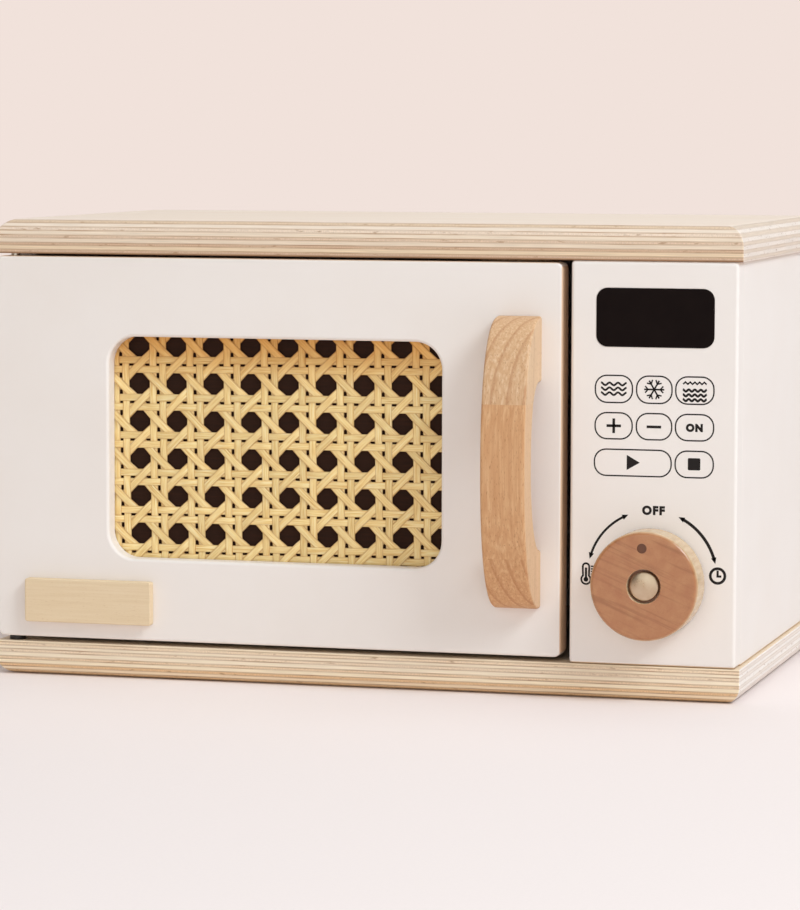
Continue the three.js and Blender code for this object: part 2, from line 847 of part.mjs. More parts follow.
place(door, "door_frame", doorFrame(), whitePaint);
place(door, "cane_webbing", caneWebbing(), cane);
place(door, "cane_backing_board", caneBackingBoard(), darkBoard);
place(door, "handle", handle(), beech);
place(door, "name_plate", namePlate(), paleWood);
const strikeFront = doorBack - strikeThickness;
place(door, "strike_plate", levelBar(strikeRadius, catchX, catchZ, strikeFront, strikeThickness), steel);
backingScrews.forEach(([x, z], index) => {
  const body = towardsFront(backingScrew(), x, backingBack - smallScrewSink, z);
  place(door, "backing_screw_" + (index + 1), body, steel);
});
footScrewZs.forEach((z, index) => {
  const body = towardsFront(handleScrew(), handleX, doorBack - screwSink, z);
  place(door, "handle_screw_" + (index + 1), body, steel);
});

const spacer = ring(boltRadius + axleFit, spacerRadius, knobStandOff - 2 * washerFit);
const backWasher = ring(boltRadius + axleFit, backWasherRadius, backWasherThickness);
place(knobSet, "knob", knob(), darkBeech);
place(knobSet, "knob_bolt", knobBolt(), steel);
place(knobSet, "knob_spacer", spacer.translate(knobX, knobBack + washerFit, knobZ), felt);
place(knobSet, "back_washer", backWasher.translate(knobX, backWasherFront, knobZ), steel);
place(knobSet, "lock_nut", lockNut(), steel);

export default microwave;
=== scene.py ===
import math

import bmesh
import bpy
from mathutils import Matrix, Vector


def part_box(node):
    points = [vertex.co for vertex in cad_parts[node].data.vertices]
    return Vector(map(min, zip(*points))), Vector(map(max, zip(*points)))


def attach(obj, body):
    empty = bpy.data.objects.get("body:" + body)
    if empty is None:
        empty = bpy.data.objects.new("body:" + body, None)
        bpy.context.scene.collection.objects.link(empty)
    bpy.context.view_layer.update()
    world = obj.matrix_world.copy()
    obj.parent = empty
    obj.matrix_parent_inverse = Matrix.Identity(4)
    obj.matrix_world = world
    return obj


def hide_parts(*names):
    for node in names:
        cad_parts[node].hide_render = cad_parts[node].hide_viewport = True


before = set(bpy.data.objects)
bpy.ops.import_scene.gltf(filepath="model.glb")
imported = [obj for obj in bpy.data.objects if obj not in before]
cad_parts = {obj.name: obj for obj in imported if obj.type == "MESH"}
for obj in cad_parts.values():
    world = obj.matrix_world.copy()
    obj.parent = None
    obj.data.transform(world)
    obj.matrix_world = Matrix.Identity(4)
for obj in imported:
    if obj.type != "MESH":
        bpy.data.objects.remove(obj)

scene = bpy.context.scene
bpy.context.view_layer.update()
mm = 0.001

# The camera stands to the right of the middle, a little above the top board, and looks slightly
# down at the front. A long lens keeps the two boards nearly parallel.
camera_place = Vector((458.4, -1682.1, 242.9)) * mm
camera_turn = math.radians(15.544)
camera_tilt = math.radians(4.919)
camera_lean = math.radians(-0.159)
forward = Vector((
    -math.sin(camera_turn) * math.cos(camera_tilt),
    math.cos(camera_turn) * math.cos(camera_tilt),
    -math.sin(camera_tilt),
))
level_right = Vector((math.cos(camera_turn), math.sin(camera_turn), 0))
level_down = forward.cross(level_right)
right = level_right * math.cos(camera_lean) + level_down * math.sin(camera_lean)
down = level_down * math.cos(camera_lean) - level_right * math.sin(camera_lean)
camera_data = bpy.data.cameras.new("camera")
camera_data.sensor_fit = "HORIZONTAL"
camera_data.sensor_width = 36
camera_data.lens = 173.75
camera_data.clip_end = 20
camera = bpy.data.objects.new("camera", camera_data)
scene.collection.objects.link(camera)
camera_axes = Matrix((right, -down, -forward)).transposed().to_4x4()
camera.matrix_world = Matrix.Translation(camera_place) @ camera_axes
scene.camera = camera

# The table and the wall behind it are one sheet of pale paper, bent up in a wide curve, with a
# smooth matt face that takes a soft shadow.
paper_front = -4.0
paper_bend = 3.6
paper_radius = 0.7
paper_top = 2.4
paper_half_width = 5.0


def colour(code):
    """The linear colour of an sRGB hex code."""
    parts = [int(code[i : i + 2], 16) / 255 for i in (1, 3, 5)]
    return [p / 12.92 if p <= 0.04045 else ((p + 0.055) / 1.055) ** 2.4 for p in parts] + [1.0]


def add(tree, kind, inputs=None, **settings):
    """Adds a node, or takes one that is there: its settings, then its inputs by name or number."""
    node = tree.nodes.new(kind) if isinstance(kind, str) else kind
    for key, value in settings.items():
        setattr(node, key, value)
    for key, value in (inputs or {}).items():
        named = isinstance(key, str)
        socket = next(s for s in node.inputs if s.enabled and s.name == key) if named else node.inputs[key]
        if isinstance(value, bpy.types.Node):
            value = next(s for s in value.outputs if s.enabled)
        if isinstance(value, bpy.types.NodeSocket):
            tree.links.new(value, socket)
        elif isinstance(value, str) and value.startswith("#"):
            socket.default_value = colour(value)
        else:
            socket.default_value = value
    return node


def maths(tree, operation, *values):
    """One step of arithmetic."""
    return add(tree, "ShaderNodeMath", dict(enumerate(values)), operation=operation)


def times(tree, first, second):
    """One value times another."""
    return maths(tree, "MULTIPLY", first, second)


def vectors(tree, operation, *values):
    """One step of arithmetic with vectors."""
    return add(tree, "ShaderNodeVectorMath", dict(enumerate(values)), operation=operation)


def ranged(tree, value, start=0.0, end=1.0, low=0.0, high=1.0, smooth=False):
    """Spreads a value's range from start to end over low to high."""
    inputs = {"Value": value, "From Min": start, "From Max": end, "To Min": low, "To Max": high}
    return add(tree, "ShaderNodeMapRange", inputs, interpolation_type="SMOOTHSTEP" if smooth else "LINEAR")


def noise(tree, vector, size, detail, **others):
    """Noise with spots of a size in millimetres, of one along each axis, or with none the vector's own."""
    scale = 1.0
    if isinstance(size, tuple):
        scales = [1 / (length * mm) for length in size]
        vector = add(tree, "ShaderNodeMapping", {"Vector": vector, "Scale": scales})
    elif size:
        scale = 1 / (size * mm)
    inputs = {"Vector": vector, "Scale": scale, "Detail": detail}
    inputs.update({key.capitalize(): value for key, value in others.items()})
    return add(tree, "ShaderNodeTexNoise", inputs)


def ramp(tree, value, *stops):
    """Tones, or plain shares, along a value."""
    node = add(tree, "ShaderNodeValToRGB", {0: value})
    elements = node.color_ramp.elements
    while len(elements) < len(stops):
        elements.new(1.0)
    for element, (place, shade) in zip(elements, stops):
        element.position = place
        element.color = colour(shade) if isinstance(shade, str) else (shade, shade, shade, 1)
    return node


def new_material(name):
    """An empty material, its tree and the place on the piece."""
    material = bpy.data.materials.new(name)
    material.use_nodes = True
    tree = material.node_tree
    return material, tree, add(tree, "ShaderNodeTexCoord").outputs["Object"]


def dress(tree, tone, rough, height, strength, depth, **others):
    """Ends a material with its tone, its roughness and a relief of a depth in millimetres."""
    lift = add(tree, "ShaderNodeBump", {"Strength": strength, "Distance": depth * mm, "Height": height})
    inputs = {"Base Color": tone, "Roughness": rough, "Normal": lift}
    named = {"specular": "Specular IOR Level", "metal": "Metallic", "sheen": "Sheen Weight"}
    named.update({"coat": "Coat Weight", "coat_rough": "Coat Roughness"})
    inputs.update({named[key]: value for key, value in others.items()})
    return add(tree, tree.nodes["Principled BSDF"], inputs)


def piece(name, mesh):
    """A new object with its place in its mesh."""
    made = bpy.data.objects.new(name, mesh)
    scene.collection.objects.link(made)
    return made


# Uncoated matt paper: an even warm pale tone with hardly any sheen, seen without shade far away.
paper, tree, here = new_material("matt_paper")
fibre = noise(tree, here, 1.5, 3)
tone = ramp(tree, fibre, (0.0, "#F1E6E3"), (1.0, "#F5EAE7"))
shader = dress(tree, tone, 0.95, fibre, 0.05, 0.05, specular=0.1)
reach = vectors(tree, "LENGTH", here)
far = ranged(tree, reach.outputs["Value"], 0.7, 2.2, smooth=True)
rays = add(tree, "ShaderNodeLightPath")
looked_at = maths(tree, "MAXIMUM", rays.outputs["Is Camera Ray"], rays.outputs["Is Glossy Ray"])
even = add(tree, "ShaderNodeEmission", {"Color": "#F1E2DB", "Strength": 1.0})
mixed = add(tree, "ShaderNodeMixShader", {0: times(tree, far, looked_at), 1: shader, 2: even})
tree.links.new(mixed.outputs[0], tree.nodes["Material Output"].inputs["Surface"])
profile = [(paper_front, 0.0), (paper_bend, 0.0)]
for i in range(1, 24):
    turn = math.radians(90) * i / 24
    profile.append((paper_bend + paper_radius * math.sin(turn), paper_radius * (1 - math.cos(turn))))
profile.append((paper_bend + paper_radius, paper_radius))
profile.append((paper_bend + paper_radius, paper_top))
mesh = bpy.data.meshes.new("paper")
points = [(side * paper_half_width, y, z) for y, z in profile for side in (-1, 1)]
mesh.from_pydata(points, [], [(2 * i, 2 * i + 1, 2 * i + 3, 2 * i + 2) for i in range(len(profile) - 1)])
mesh.shade_smooth()
mesh.materials.append(paper)
table = piece("paper", mesh)

# Three large soft lamps light the front: a strong one from high at the right, one from overhead and
# one from low in front. The room is pale and warm, has the wall's tone where seen and mirrors as dim.
for name, spot, size, power, lamp_tone in (
    ("key_lamp", (2.04, -1.08, 2.0), 1.15, 56, (0.85, 0.95, 1.02)),
    ("overhead_lamp", (0.1, 0.1, 2.4), 2.0, 17.5, (0.90, 0.88, 0.85)),
    ("front_lamp", (0.1, -2.6, 0.4), 2.2, 18.8, (0.92, 0.985, 1.0)),
):
    light = bpy.data.lights.new(name, "AREA")
    light.shape = "SQUARE"
    light.size = size
    light.energy = power
    light.color = lamp_tone
    lamp = bpy.data.objects.new(name, light)
    scene.collection.objects.link(lamp)
    lamp.location = spot
    lamp.rotation_euler = (Vector((0, 0, 0.1)) - Vector(spot)).to_track_quat("-Z", "Y").to_euler()
world = bpy.data.worlds.new("pale_room")
world.use_nodes = True
tree = world.node_tree
rays = add(tree, "ShaderNodeLightPath")
room = add(tree, tree.nodes["Background"], {"Color": "#FFFAF5", "Strength": 0.36})
mirrored = add(tree, "ShaderNodeBackground", {"Color": "#A08C7C", "Strength": 0.25})
seen = add(tree, "ShaderNodeBackground", {"Color": "#F1E2DB", "Strength": 1.0})
indirect = add(tree, "ShaderNodeMixShader", {0: rays.outputs["Is Glossy Ray"], 1: room, 2: mirrored})
mixed = add(tree, "ShaderNodeMixShader", {0: rays.outputs["Is Camera Ray"], 1: indirect, 2: seen})
tree.links.new(mixed.outputs[0], tree.nodes["World Output"].inputs["Surface"])
scene.world = world
scene.view_settings.view_transform = "Standard"

# The base and top boards are 15 mm birch plywood of eleven plies. The lower edges of the base and
# the upper edges of the top are rounded over, sanded and given a clear matt lacquer.
board_thickness = 15 * mm
base_edge_radius = 7.5 * mm
top_edge_radius = 9 * mm
board_corner_radius = 0.7 * mm
board_corner_growth = 0.06
board_ease = 0.25 * mm
glue_line_share = 0.05
# Each ply begins at a share of the thickness from the upper face and has its own tone in front. The
# base's plies are paler than the top's: painted light against the shade low on the cabinet.
base_plies = (
    (0.0, "#F5E2C4"), (0.055, "#EFD7BA"), (0.145, "#F3E2C8"), (0.245, "#EDD6BA"), (0.335, "#F5E4CA"),
    (0.465, "#EACDAB"), (0.545, "#F9E8CA"), (0.67, "#EBC69A"), (0.765, "#FCE8C8"), (0.875, "#EDC89A"),
    (0.965, "#F0D0A4"),
)
# The top board's lowest ply is dark brown: painted shade along its joint over the panels below.
top_plies = (
    (0.0, "#EEDFD5"), (0.022, "#DEC4A8"), (0.105, "#EAD8C5"), (0.222, "#E4CEB9"), (0.325, "#EAD6BF"),
    (0.455, "#DFC3A9"), (0.54, "#EAD6BE"), (0.675, "#D4B396"), (0.752, "#E9D0B0"), (0.88, "#D4B497"),
    (0.964, "#8A6242"),
)
# Painted light and shade: the top's ends are darker against the strong light on them and its face paler for
# its sheen; the base's ends are paler against the shade low down, and its face darker and warmer, as only
# shaded strips of it show.
top_ends = ("#EEE1D6", "#E2CFBC")
base_ends = ("#F7EFE8", "#EEE2D7")
top_faces = ("#F6E3D0", "#FAE9D9", "#FCEEE1")
base_faces = ("#E8D0B2", "#EDD7BC", "#F1DEC6")
glue_tone = "#B08C6E"


def shaped(name, shape):
    """A new object from a shape, its faces turned outward."""
    bmesh.ops.recalc_face_normals(shape, faces=shape.faces)
    mesh = bpy.data.meshes.new(name)
    shape.to_mesh(mesh)
    shape.free()
    return piece(name, mesh)


def slab(name, low, high, axis, corner, first_edge, last_edge, steps=8, flare=0.0, growth=-1.0):
    """A board in a box: corners rounded as seen along the axis, edges eased at its first and last face, or
    flared out there. A corner's radius grows by its share of the way in."""
    across = [(1, 2), (2, 0), (0, 1)][axis]
    rings = []
    for radius, level, way in ((first_edge, low[axis], 1), (last_edge, high[axis], -1)):
        ring = []
        for i in range(steps + 1 if radius else 1):
            turn = math.radians(90) * i / steps
            inset = radius * (1 - math.sin(turn)) if radius else 0.0
            ring.append((-inset if flare else inset, level + way * radius * (1 - math.cos(turn))))
        rings += ring if way > 0 else ring[::-1]
    middle = [(low[a] + high[a]) / 2 for a in across]
    half = [(high[a] - low[a]) / 2 for a in across]
    shape = bmesh.new()
    loops = []
    for inset, level in rings:
        radius = max(corner + growth * inset, 0.02 * mm)
        loop = []
        for quarter, (sx, sy) in enumerate(((1, 1), (-1, 1), (-1, -1), (1, -1))):
            for i in range(steps + 1):
                turn = math.radians(90) * (quarter + i / steps)
                spot = [0.0, 0.0, 0.0]
                spot[axis] = level
                spot[across[0]] = middle[0] + sx * (half[0] - inset - radius) + radius * math.cos(turn)
                spot[across[1]] = middle[1] + sy * (half[1] - inset - radius) + radius * math.sin(turn)
                loop.append(shape.verts.new(spot))
        loops.append(loop)
    for first, second in zip(loops, loops[1:]):
        for i in range(len(first)):
            j = (i + 1) % len(first)
            shape.faces.new((first[i], first[j], second[j], second[i]))
    shape.faces.new(loops[0][::-1])
    shape.faces.new(loops[-1])
    return shaped(name, shape)


def plain(made):
    """Turns a piece's modifiers into its mesh."""
    view = bpy.context.evaluated_depsgraph_get()
    mesh = bpy.data.meshes.new_from_object(made.evaluated_get(view))
    made.modifiers.clear()
    made.data = mesh


def fit(made, body, finish, slot_name, *nodes, sharp=40):
    """Gives a piece its finish and its smooth faces, and puts it in the place of its nodes."""
    made.data.materials.clear()
    made.data.materials.append(finish)
    made.data.shade_smooth()
    made.data.set_sharp_from_angle(angle=math.radians(sharp))
    even = made.modifiers.new("even", "WEIGHTED_NORMAL")
    even.keep_sharp = True
    plain(made)
    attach(made, body)
    if nodes:
        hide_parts(*nodes)
    return made


def blend(tree, share, first, second, **settings):
    """Mixes two tones."""
    inputs = {"Factor": share, "A": first, "B": second}
    return add(tree, "ShaderNodeMix", inputs, data_type="RGBA", **settings)


def between(tree, share, first, second):
    """Mixes two values."""
    return add(tree, "ShaderNodeMix", {"Factor": share, "A": first, "B": second})


def split(tree, vector):
    """The three parts of a vector."""
    return add(tree, "ShaderNodeSeparateXYZ", {"Vector": vector}).outputs


def joined(tree, x=0.0, y=0.0, z=0.0):
    """A vector of three parts."""
    return add(tree, "ShaderNodeCombineXYZ", {"X": x, "Y": y, "Z": z})


def scaled(tree, vector, scale):
    """A vector times a number."""
    return add(tree, "ShaderNodeVectorMath", {0: vector, "Scale": scale}, operation="SCALE")


def facing_way(tree):
    """The way a piece's faces look."""
    return add(tree, "ShaderNodeTexCoord").outputs["Normal"]


def birch_plywood(name, top, plies, ends, faces):
    """Sanded birch plywood, matt lacquered: pale long grain and tan end grain by turns on the edges, a
    thin brown glue line between them, paler at the board's ends, and a calm pale face."""
    material, tree, here = new_material(name)
    spot = split(tree, here)
    facing = split(tree, vectors(tree, "ABSOLUTE", facing_way(tree)))
    side = ranged(tree, maths(tree, "SUBTRACT", facing["X"], facing["Y"]), -0.1, 0.1)
    flat = ranged(tree, facing["Z"], 0.95, 0.995)
    edge = joined(tree, x=between(tree, side, spot["X"], spot["Y"]), z=spot["Z"])
    shift = ranged(tree, noise(tree, edge, 60, 6, roughness=0.7), low=-0.014, high=0.014)
    level = maths(tree, "ADD", ranged(tree, spot["Z"], top, top - board_thickness), shift)
    tones = []
    turns = []
    for i, (start, shade) in enumerate(plies):
        end = plies[i + 1][0] if i + 1 < len(plies) else 1.0
        ease = min(glue_line_share, end - start) / 2
        tones += [(start + ease, shade), (end - ease, shade)]
        turns += [(start + ease, float(i % 2)), (end - ease, float(i % 2))]
    band = ramp(tree, level, *turns)
    edge_tone = blend(tree, side, ramp(tree, level, *tones), blend(tree, band, *ends))
    end_grain = between(tree, flat, between(tree, side, band, maths(tree, "SUBTRACT", 1.0, band)), 0.0)
    streak = noise(tree, edge, (14, 1000, 0.4), 4)
    pore = noise(tree, edge, (0.5, 1000, 0.9), 3)
    patch = noise(tree, edge, (30, 1000, 2.4), 2)
    pored = ranged(tree, pore, 0.3, 0.7, low=0.86, high=1.09)
    grained = between(tree, end_grain, ranged(tree, streak, 0.3, 0.7, low=0.89, high=1.06), pored)
    worked = times(tree, grained, ranged(tree, patch, 0.3, 0.6, low=0.95, high=1.03))
    glue = ranged(tree, maths(tree, "ABSOLUTE", maths(tree, "SUBTRACT", band, 0.5)), 0.5, 0.1)
    faded = ranged(tree, side, low=1.0, high=0.4)
    glue_here = times(tree, ranged(tree, patch, 0.35, 0.65, low=0.25, high=0.95), faded)
    glue_share = times(tree, glue, glue_here)
    glued = blend(tree, glue_share, scaled(tree, edge_tone, worked), glue_tone)
    dark = ranged(tree, noise(tree, edge, (5, 1000, 1.1), 2), 0.61, 0.73, high=0.65)
    marked = blend(tree, times(tree, dark, end_grain), glued, "#9C7450")
    face = noise(tree, here, (120, 3.2, 1000), 5, distortion=0.3)
    finished = blend(tree, flat, marked, ramp(tree, face, *zip((0.3, 0.5, 0.7), faces)))
    relief = between(tree, end_grain, streak, pore)
    dress(tree, finished, ranged(tree, end_grain, low=0.5, high=0.68), relief, 0.35, 0.06, specular=0.3)
    return material


low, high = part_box("base_board")
base = slab(
    "base_board_piece", low, high, 2, board_corner_radius, base_edge_radius, board_ease,
    steps=12, growth=board_corner_growth,
)
base_ply = birch_plywood("birch_plywood_base", high.z, base_plies, base_ends, base_faces)
low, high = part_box("top_board")
top = slab(
    "top_board_piece", low, high, 2, board_corner_radius, board_ease, top_edge_radius,
    steps=12, growth=board_corner_growth,
)
top_ply = birch_plywood("birch_plywood_top", high.z, top_plies, top_ends, top_faces)
fit(top, "cabinet", top_ply, "birch_plywood", "top_board")

# Screws hold the panels: six from under the base and six through the back, of nickel plated steel
# with a countersunk head and a pressed cross. Each sits a millimetre deep in its hole.
screw_hole_radius = 4.15 * mm
cross_width = 1.1 * mm
cross_length = 4.6 * mm
cross_depth = 1.3 * mm
shank_share = 0.48
head_radius = 4 * mm
head_height = 2.4 * mm
head_sink = 3.4 * mm
overrun = 1 * mm


def new_group(name, inputs, output):
    """A Geometry Nodes tree, its inputs as seen inside and its inputs' sockets. An input's usual value
    gives its kind, and None stands for geometry."""
    tree = bpy.data.node_groups.new(name, "GeometryNodeTree")
    kinds = {float: "Float", int: "Int", tuple: "Vector", type(None): "Geometry"}
    sockets = {}
    for key, value in inputs.items():
        kind = "NodeSocket" + kinds.get(type(value), "Material")
        sockets[key] = tree.interface.new_socket(name=key, in_out="INPUT", socket_type=kind)
        if value is not None:
            sockets[key].default_value = value
    tree.interface.new_socket(name=output, in_out="OUTPUT", socket_type="NodeSocketGeometry")
    return tree, add(tree, "NodeGroupInput").outputs, sockets


def realised(tree, geometry, finish):
    """Ends a tree with real mesh in its finish."""
    real = add(tree, "GeometryNodeRealizeInstances", {"Geometry": geometry})
    dressed = add(tree, "GeometryNodeSetMaterial", {"Geometry": real, "Material": finish})
    add(tree, "NodeGroupOutput", {0: dressed})


def grown(name, points, tree, sockets, values):
    """A piece that a tree makes at points, as plain mesh."""
    mesh = bpy.data.meshes.new(name)
    mesh.from_pydata(points, [], [])
    made = piece(name, mesh)
    rule = made.modifiers.new(tree.name, "NODES")
    rule.node_group = tree
    for key, value in values.items():
        rule[sockets[key].identifier] = value
    plain(made)
    return made


def simple_material(name, size, detail, tones, roughness, strength, depth, **others):
    """A material whose tone, roughness and relief all follow one noise."""
    material, tree, here = new_material(name)
    grain = noise(tree, here, size, detail)
    rough = ranged(tree, grain, low=roughness[0], high=roughness[1])
    dress(tree, ramp(tree, grain, *tones), rough, grain, strength, depth, **others)
    return material


# Nickel plated steel: warm pale metal, softly brushed by the tumbling drum.
nickel_tones = ((0.35, "#C9C0B2"), (0.65, "#DAD2C6"))
nickel = simple_material("nickel_plated_steel", 0.6, 4, nickel_tones, (0.24, 0.4), 0.12, 0.03, metal=1.0)

screw_tree, given, screw_inputs = new_group("countersunk screws", {
    "Places": None, "Head radius": head_radius, "Head height": head_height, "Length": 28 * mm,
    "Turn": (0.0, 0.0, 0.0), "Finish": nickel,
}, "Screws")
tree = screw_tree
shank_radius = times(tree, given["Head radius"], shank_share)
head = add(tree, "GeometryNodeMeshCone", {
    "Vertices": 48, "Radius Top": given["Head radius"], "Radius Bottom": shank_radius,
    "Depth": given["Head height"],
}).outputs["Mesh"]
head_drop = times(tree, given["Head height"], -1.0)
head_place = joined(tree, z=head_drop)
head_set = add(tree, "GeometryNodeTransform", {"Geometry": head, "Translation": head_place})
cross = add(tree, "GeometryNodeJoinGeometry")
for size in ((cross_length, cross_width, 2 * cross_depth), (cross_width, cross_length, 2 * cross_depth)):
    tree.links.new(add(tree, "GeometryNodeMeshCube", {"Size": size}).outputs["Mesh"], cross.inputs[0])
crossed = {"Mesh 1": head_set, "Mesh 2": cross}
head_cut = add(tree, "GeometryNodeMeshBoolean", crossed, operation="DIFFERENCE")
bar = {"Vertices": 24, "Radius": shank_radius, "Depth": given["Length"]}
shank = add(tree, "GeometryNodeMeshCylinder", bar).outputs["Mesh"]
shank_drop = maths(tree, "ADD", times(tree, given["Length"], -0.5), head_drop)
shank_place = joined(tree, z=shank_drop)
shank_set = add(tree, "GeometryNodeTransform", {"Geometry": shank, "Translation": shank_place})
screw = add(tree, "GeometryNodeJoinGeometry", {0: head_cut})
tree.links.new(shank_set.outputs[0], screw.inputs[0])
quarter = {"Min": (0, 0, 0), "Max": (0, 0, math.pi / 2), "Seed": 4}
spin = add(tree, "FunctionNodeRandomValue", quarter, data_type="FLOAT_VECTOR")
turns = {"Rotation": given["Turn"], "Rotate By": spin}
aimed = add(tree, "FunctionNodeRotateRotation", turns, rotation_space="LOCAL")
driven = {"Points": given["Places"], "Instance": screw, "Rotation": aimed}
realised(tree, add(tree, "GeometryNodeInstanceOnPoints", driven), given["Finish"])


def screws(name, nodes, axis, outward, body, radius=head_radius, height=head_height):
    """Screws of one kind, their heads where the nodes' heads are; outward is the way the heads look."""
    boxes = [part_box(node) for node in nodes]
    middles = [(a + b) / 2 for a, b in boxes]
    for spot, (a, b) in zip(middles, boxes):
        spot[axis] = b[axis] if outward > 0 else a[axis]
    length = boxes[0][1][axis] - boxes[0][0][axis] - height
    aim = Vector([outward if i == axis else 0 for i in range(3)]).to_track_quat("Z", "Y").to_euler()
    values = {"Head radius": radius, "Head height": height, "Length": length, "Turn": tuple(aim)}
    values["Finish"] = nickel
    made = grown(name, [tuple(spot) for spot in middles], screw_tree, screw_inputs, values)
    fit(made, body, nickel, "steel", *nodes, sharp=30)


def turned(name, profile, centre, axis, segments=64):
    """A round piece: (radius, place along the axis) points, from one end on the axis to the other."""
    across = [(1, 2), (2, 0), (0, 1)][axis]
    shape = bmesh.new()
    loops = []
    for radius, along in profile:
        loop = []
        for i in range(segments if radius else 1):
            turn = math.tau * i / segments
            spot = [0.0, 0.0, 0.0]
            spot[axis] = along
            spot[across[0]] = centre[across[0]] + radius * math.cos(turn)
            spot[across[1]] = centre[across[1]] + radius * math.sin(turn)
            loop.append(shape.verts.new(spot))
        loops.append(loop)
    for first, second in zip(loops, loops[1:]):
        for i in range(segments):
            j = (i + 1) % segments
            corners = [first[i % len(first)], first[j % len(first)]]
            corners += [second[j % len(second)], second[i % len(second)]]
            shape.faces.new(list(dict.fromkeys(corners)))
    return shaped(name, shape)


def rod(name, radius, start, end, middle, axis, segments):
    """A round bar between two places along an axis."""
    return turned(name, [(0, start), (radius, start), (radius, end), (0, end)], middle, axis, segments)


def screw_hole(node, axis, start, end):
    """A round tool for a screw's head."""
    low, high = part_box(node)
    return rod("hole", screw_hole_radius, start, end, (low + high) / 2, axis, 32)


def carve(made, *tools):
    """Cuts tools out of a piece."""
    for tool in tools:
        cut = made.modifiers.new(tool.name, "BOOLEAN")
        cut.object = tool
        cut.solver = "EXACT"
    plain(made)
    for tool in tools:
        bpy.data.objects.remove(tool)


base_screws = ["base_screw_%d" % i for i in range(1, 7)]
low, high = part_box("base_board")
carve(base, *[screw_hole(n, 2, low.z - overrun, low.z + head_sink) for n in base_screws])
fit(base, "cabinet", base_ply, "birch_plywood", "base_board")
screws("base_screws", base_screws, 2, -1, "cabinet")

# The cabinet's sides, back and inner partition are flat boards sprayed with warm white satin
# paint. Their edges are only broken with sandpaper.
panel_ease = 0.5 * mm
golden_foot_height = 0.6 * mm


def satin_paint(name, tan_above=None, tan_beyond=None, golden_below=None):
    """Satin paint sprayed on wood: an even warm white with a fine sprayed skin, thinner on the edges. Above
    a height and to the right of a place it turns tan, and below another height golden brown."""
    material, tree, here = new_material(name)
    even = blend(tree, ranged(tree, noise(tree, here, 45, 3), 0.3, 0.7), "#EFE6DF", "#F1E9E3")
    soft = add(tree, "ShaderNodeBevel", {"Radius": 0.8 * mm}, samples=4)
    turn = vectors(tree, "DOT_PRODUCT", soft, add(tree, "ShaderNodeNewGeometry").outputs["Normal"])
    scuff = noise(tree, here, 4, 4)
    worn = times(tree, ranged(tree, turn.outputs["Value"], 0.99, 0.9, high=0.7), scuff)
    tone = blend(tree, worn, even, "#E6D6C4")
    spot = split(tree, here)
    for axis, level, reach, shade in (
        ("Z", tan_above, 0.25 * mm, "#DDBB98"), ("X", tan_beyond, 0.2 * mm, "#D8B088"),
        ("Z", golden_below, -0.25 * mm, "#C99F63"),
    ):
        if level is not None:
            past = ranged(tree, spot[axis], level - reach, level + reach, high=0.85)
            tone = blend(tree, past, tone, shade)
    skin = noise(tree, here, 0.7, 3)
    dress(tree, tone, ranged(tree, skin, low=0.44, high=0.58), skin, 0.22, 0.04, specular=0.22)
    return material


white_paint = satin_paint("satin_white_paint")
# The lowest 0.6 mm of the panels is tinted golden brown.
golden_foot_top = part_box("control_panel")[0].z + golden_foot_height
paint_with_golden_foot = satin_paint("satin_white_paint_with_golden_foot", golden_below=golden_foot_top)
panel_shape = (1, panel_ease, panel_ease, panel_ease, 3)
for node, finish in (
    ("left_side_panel", white_paint), ("right_side_panel", paint_with_golden_foot), ("inner_partition", white_paint),
):
    fit(slab(node + "_piece", *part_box(node), *panel_shape), "cabinet", finish, "white_paint", node)
back_screws = ["back_screw_%d" % i for i in range(1, 7)]
low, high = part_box("back_panel")
back = slab("back_panel_piece", low, high, *panel_shape)
carve(back, *[screw_hole(n, 1, high.y - head_sink, high.y + overrun) for n in back_screws])
fit(back, "cabinet", white_paint, "white_paint", "back_panel")
screws("back_screws", back_screws, 1, 1, "cabinet")

# The control panel at the front right is the same painted board, its upright front edges rounded a
# little more, with a shallow seat for the display plate and a hole for the knob's bolt.
panel_edge_radius = 1.5 * mm
panel_corner_radius = 1.6 * mm
display_corner_radius = 4.7 * mm
display_edge_radius = 0.15 * mm
seat_gap = 0.15 * mm
bolt_hole_radius = 3.1 * mm
low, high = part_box("control_panel")
panel_front = low.y
panel_corner = Vector((low.x, 0, low.z))
panel = slab("control_panel_piece", low, high, 1, panel_corner_radius, panel_edge_radius, panel_ease)
shown_low, shown_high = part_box("display_plate")
seat_low = shown_low - Vector((seat_gap, 2 * mm, seat_gap))
seat_high = shown_high + Vector((seat_gap, 0, seat_gap))
knob_low, knob_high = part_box("knob")
knob_middle = (knob_low + knob_high) / 2
bolt_hole = rod("bolt_hole", bolt_hole_radius, low.y - overrun, high.y + overrun, knob_middle, 1, 32)
carve(panel, slab("seat", seat_low, seat_high, 1, display_corner_radius + seat_gap, 0, 0), bolt_hole)
fit(panel, "cabinet", paint_with_golden_foot, "white_paint", "control_panel")

# The display is a plate of black acrylic let into the panel, with a semi-gloss face and a thin
# polished rim.
black_acrylic, tree, here = new_material("black_acrylic")
haze = noise(tree, here, 9, 5)
rough = ranged(tree, haze, low=0.3, high=0.46)
grain = noise(tree, here, 0.5, 2)
dress(tree, ramp(tree, haze, (0.3, "#150D0C"), (0.7, "#19110F")), rough, grain, 0.05, 0.02, specular=0.04)
display = slab(
    "display_plate_piece", shown_low, shown_high, 1, display_corner_radius, display_edge_radius, 0, steps=10,
)
fit(display, "cabinet", black_acrylic, "black_gloss", "display_plate")

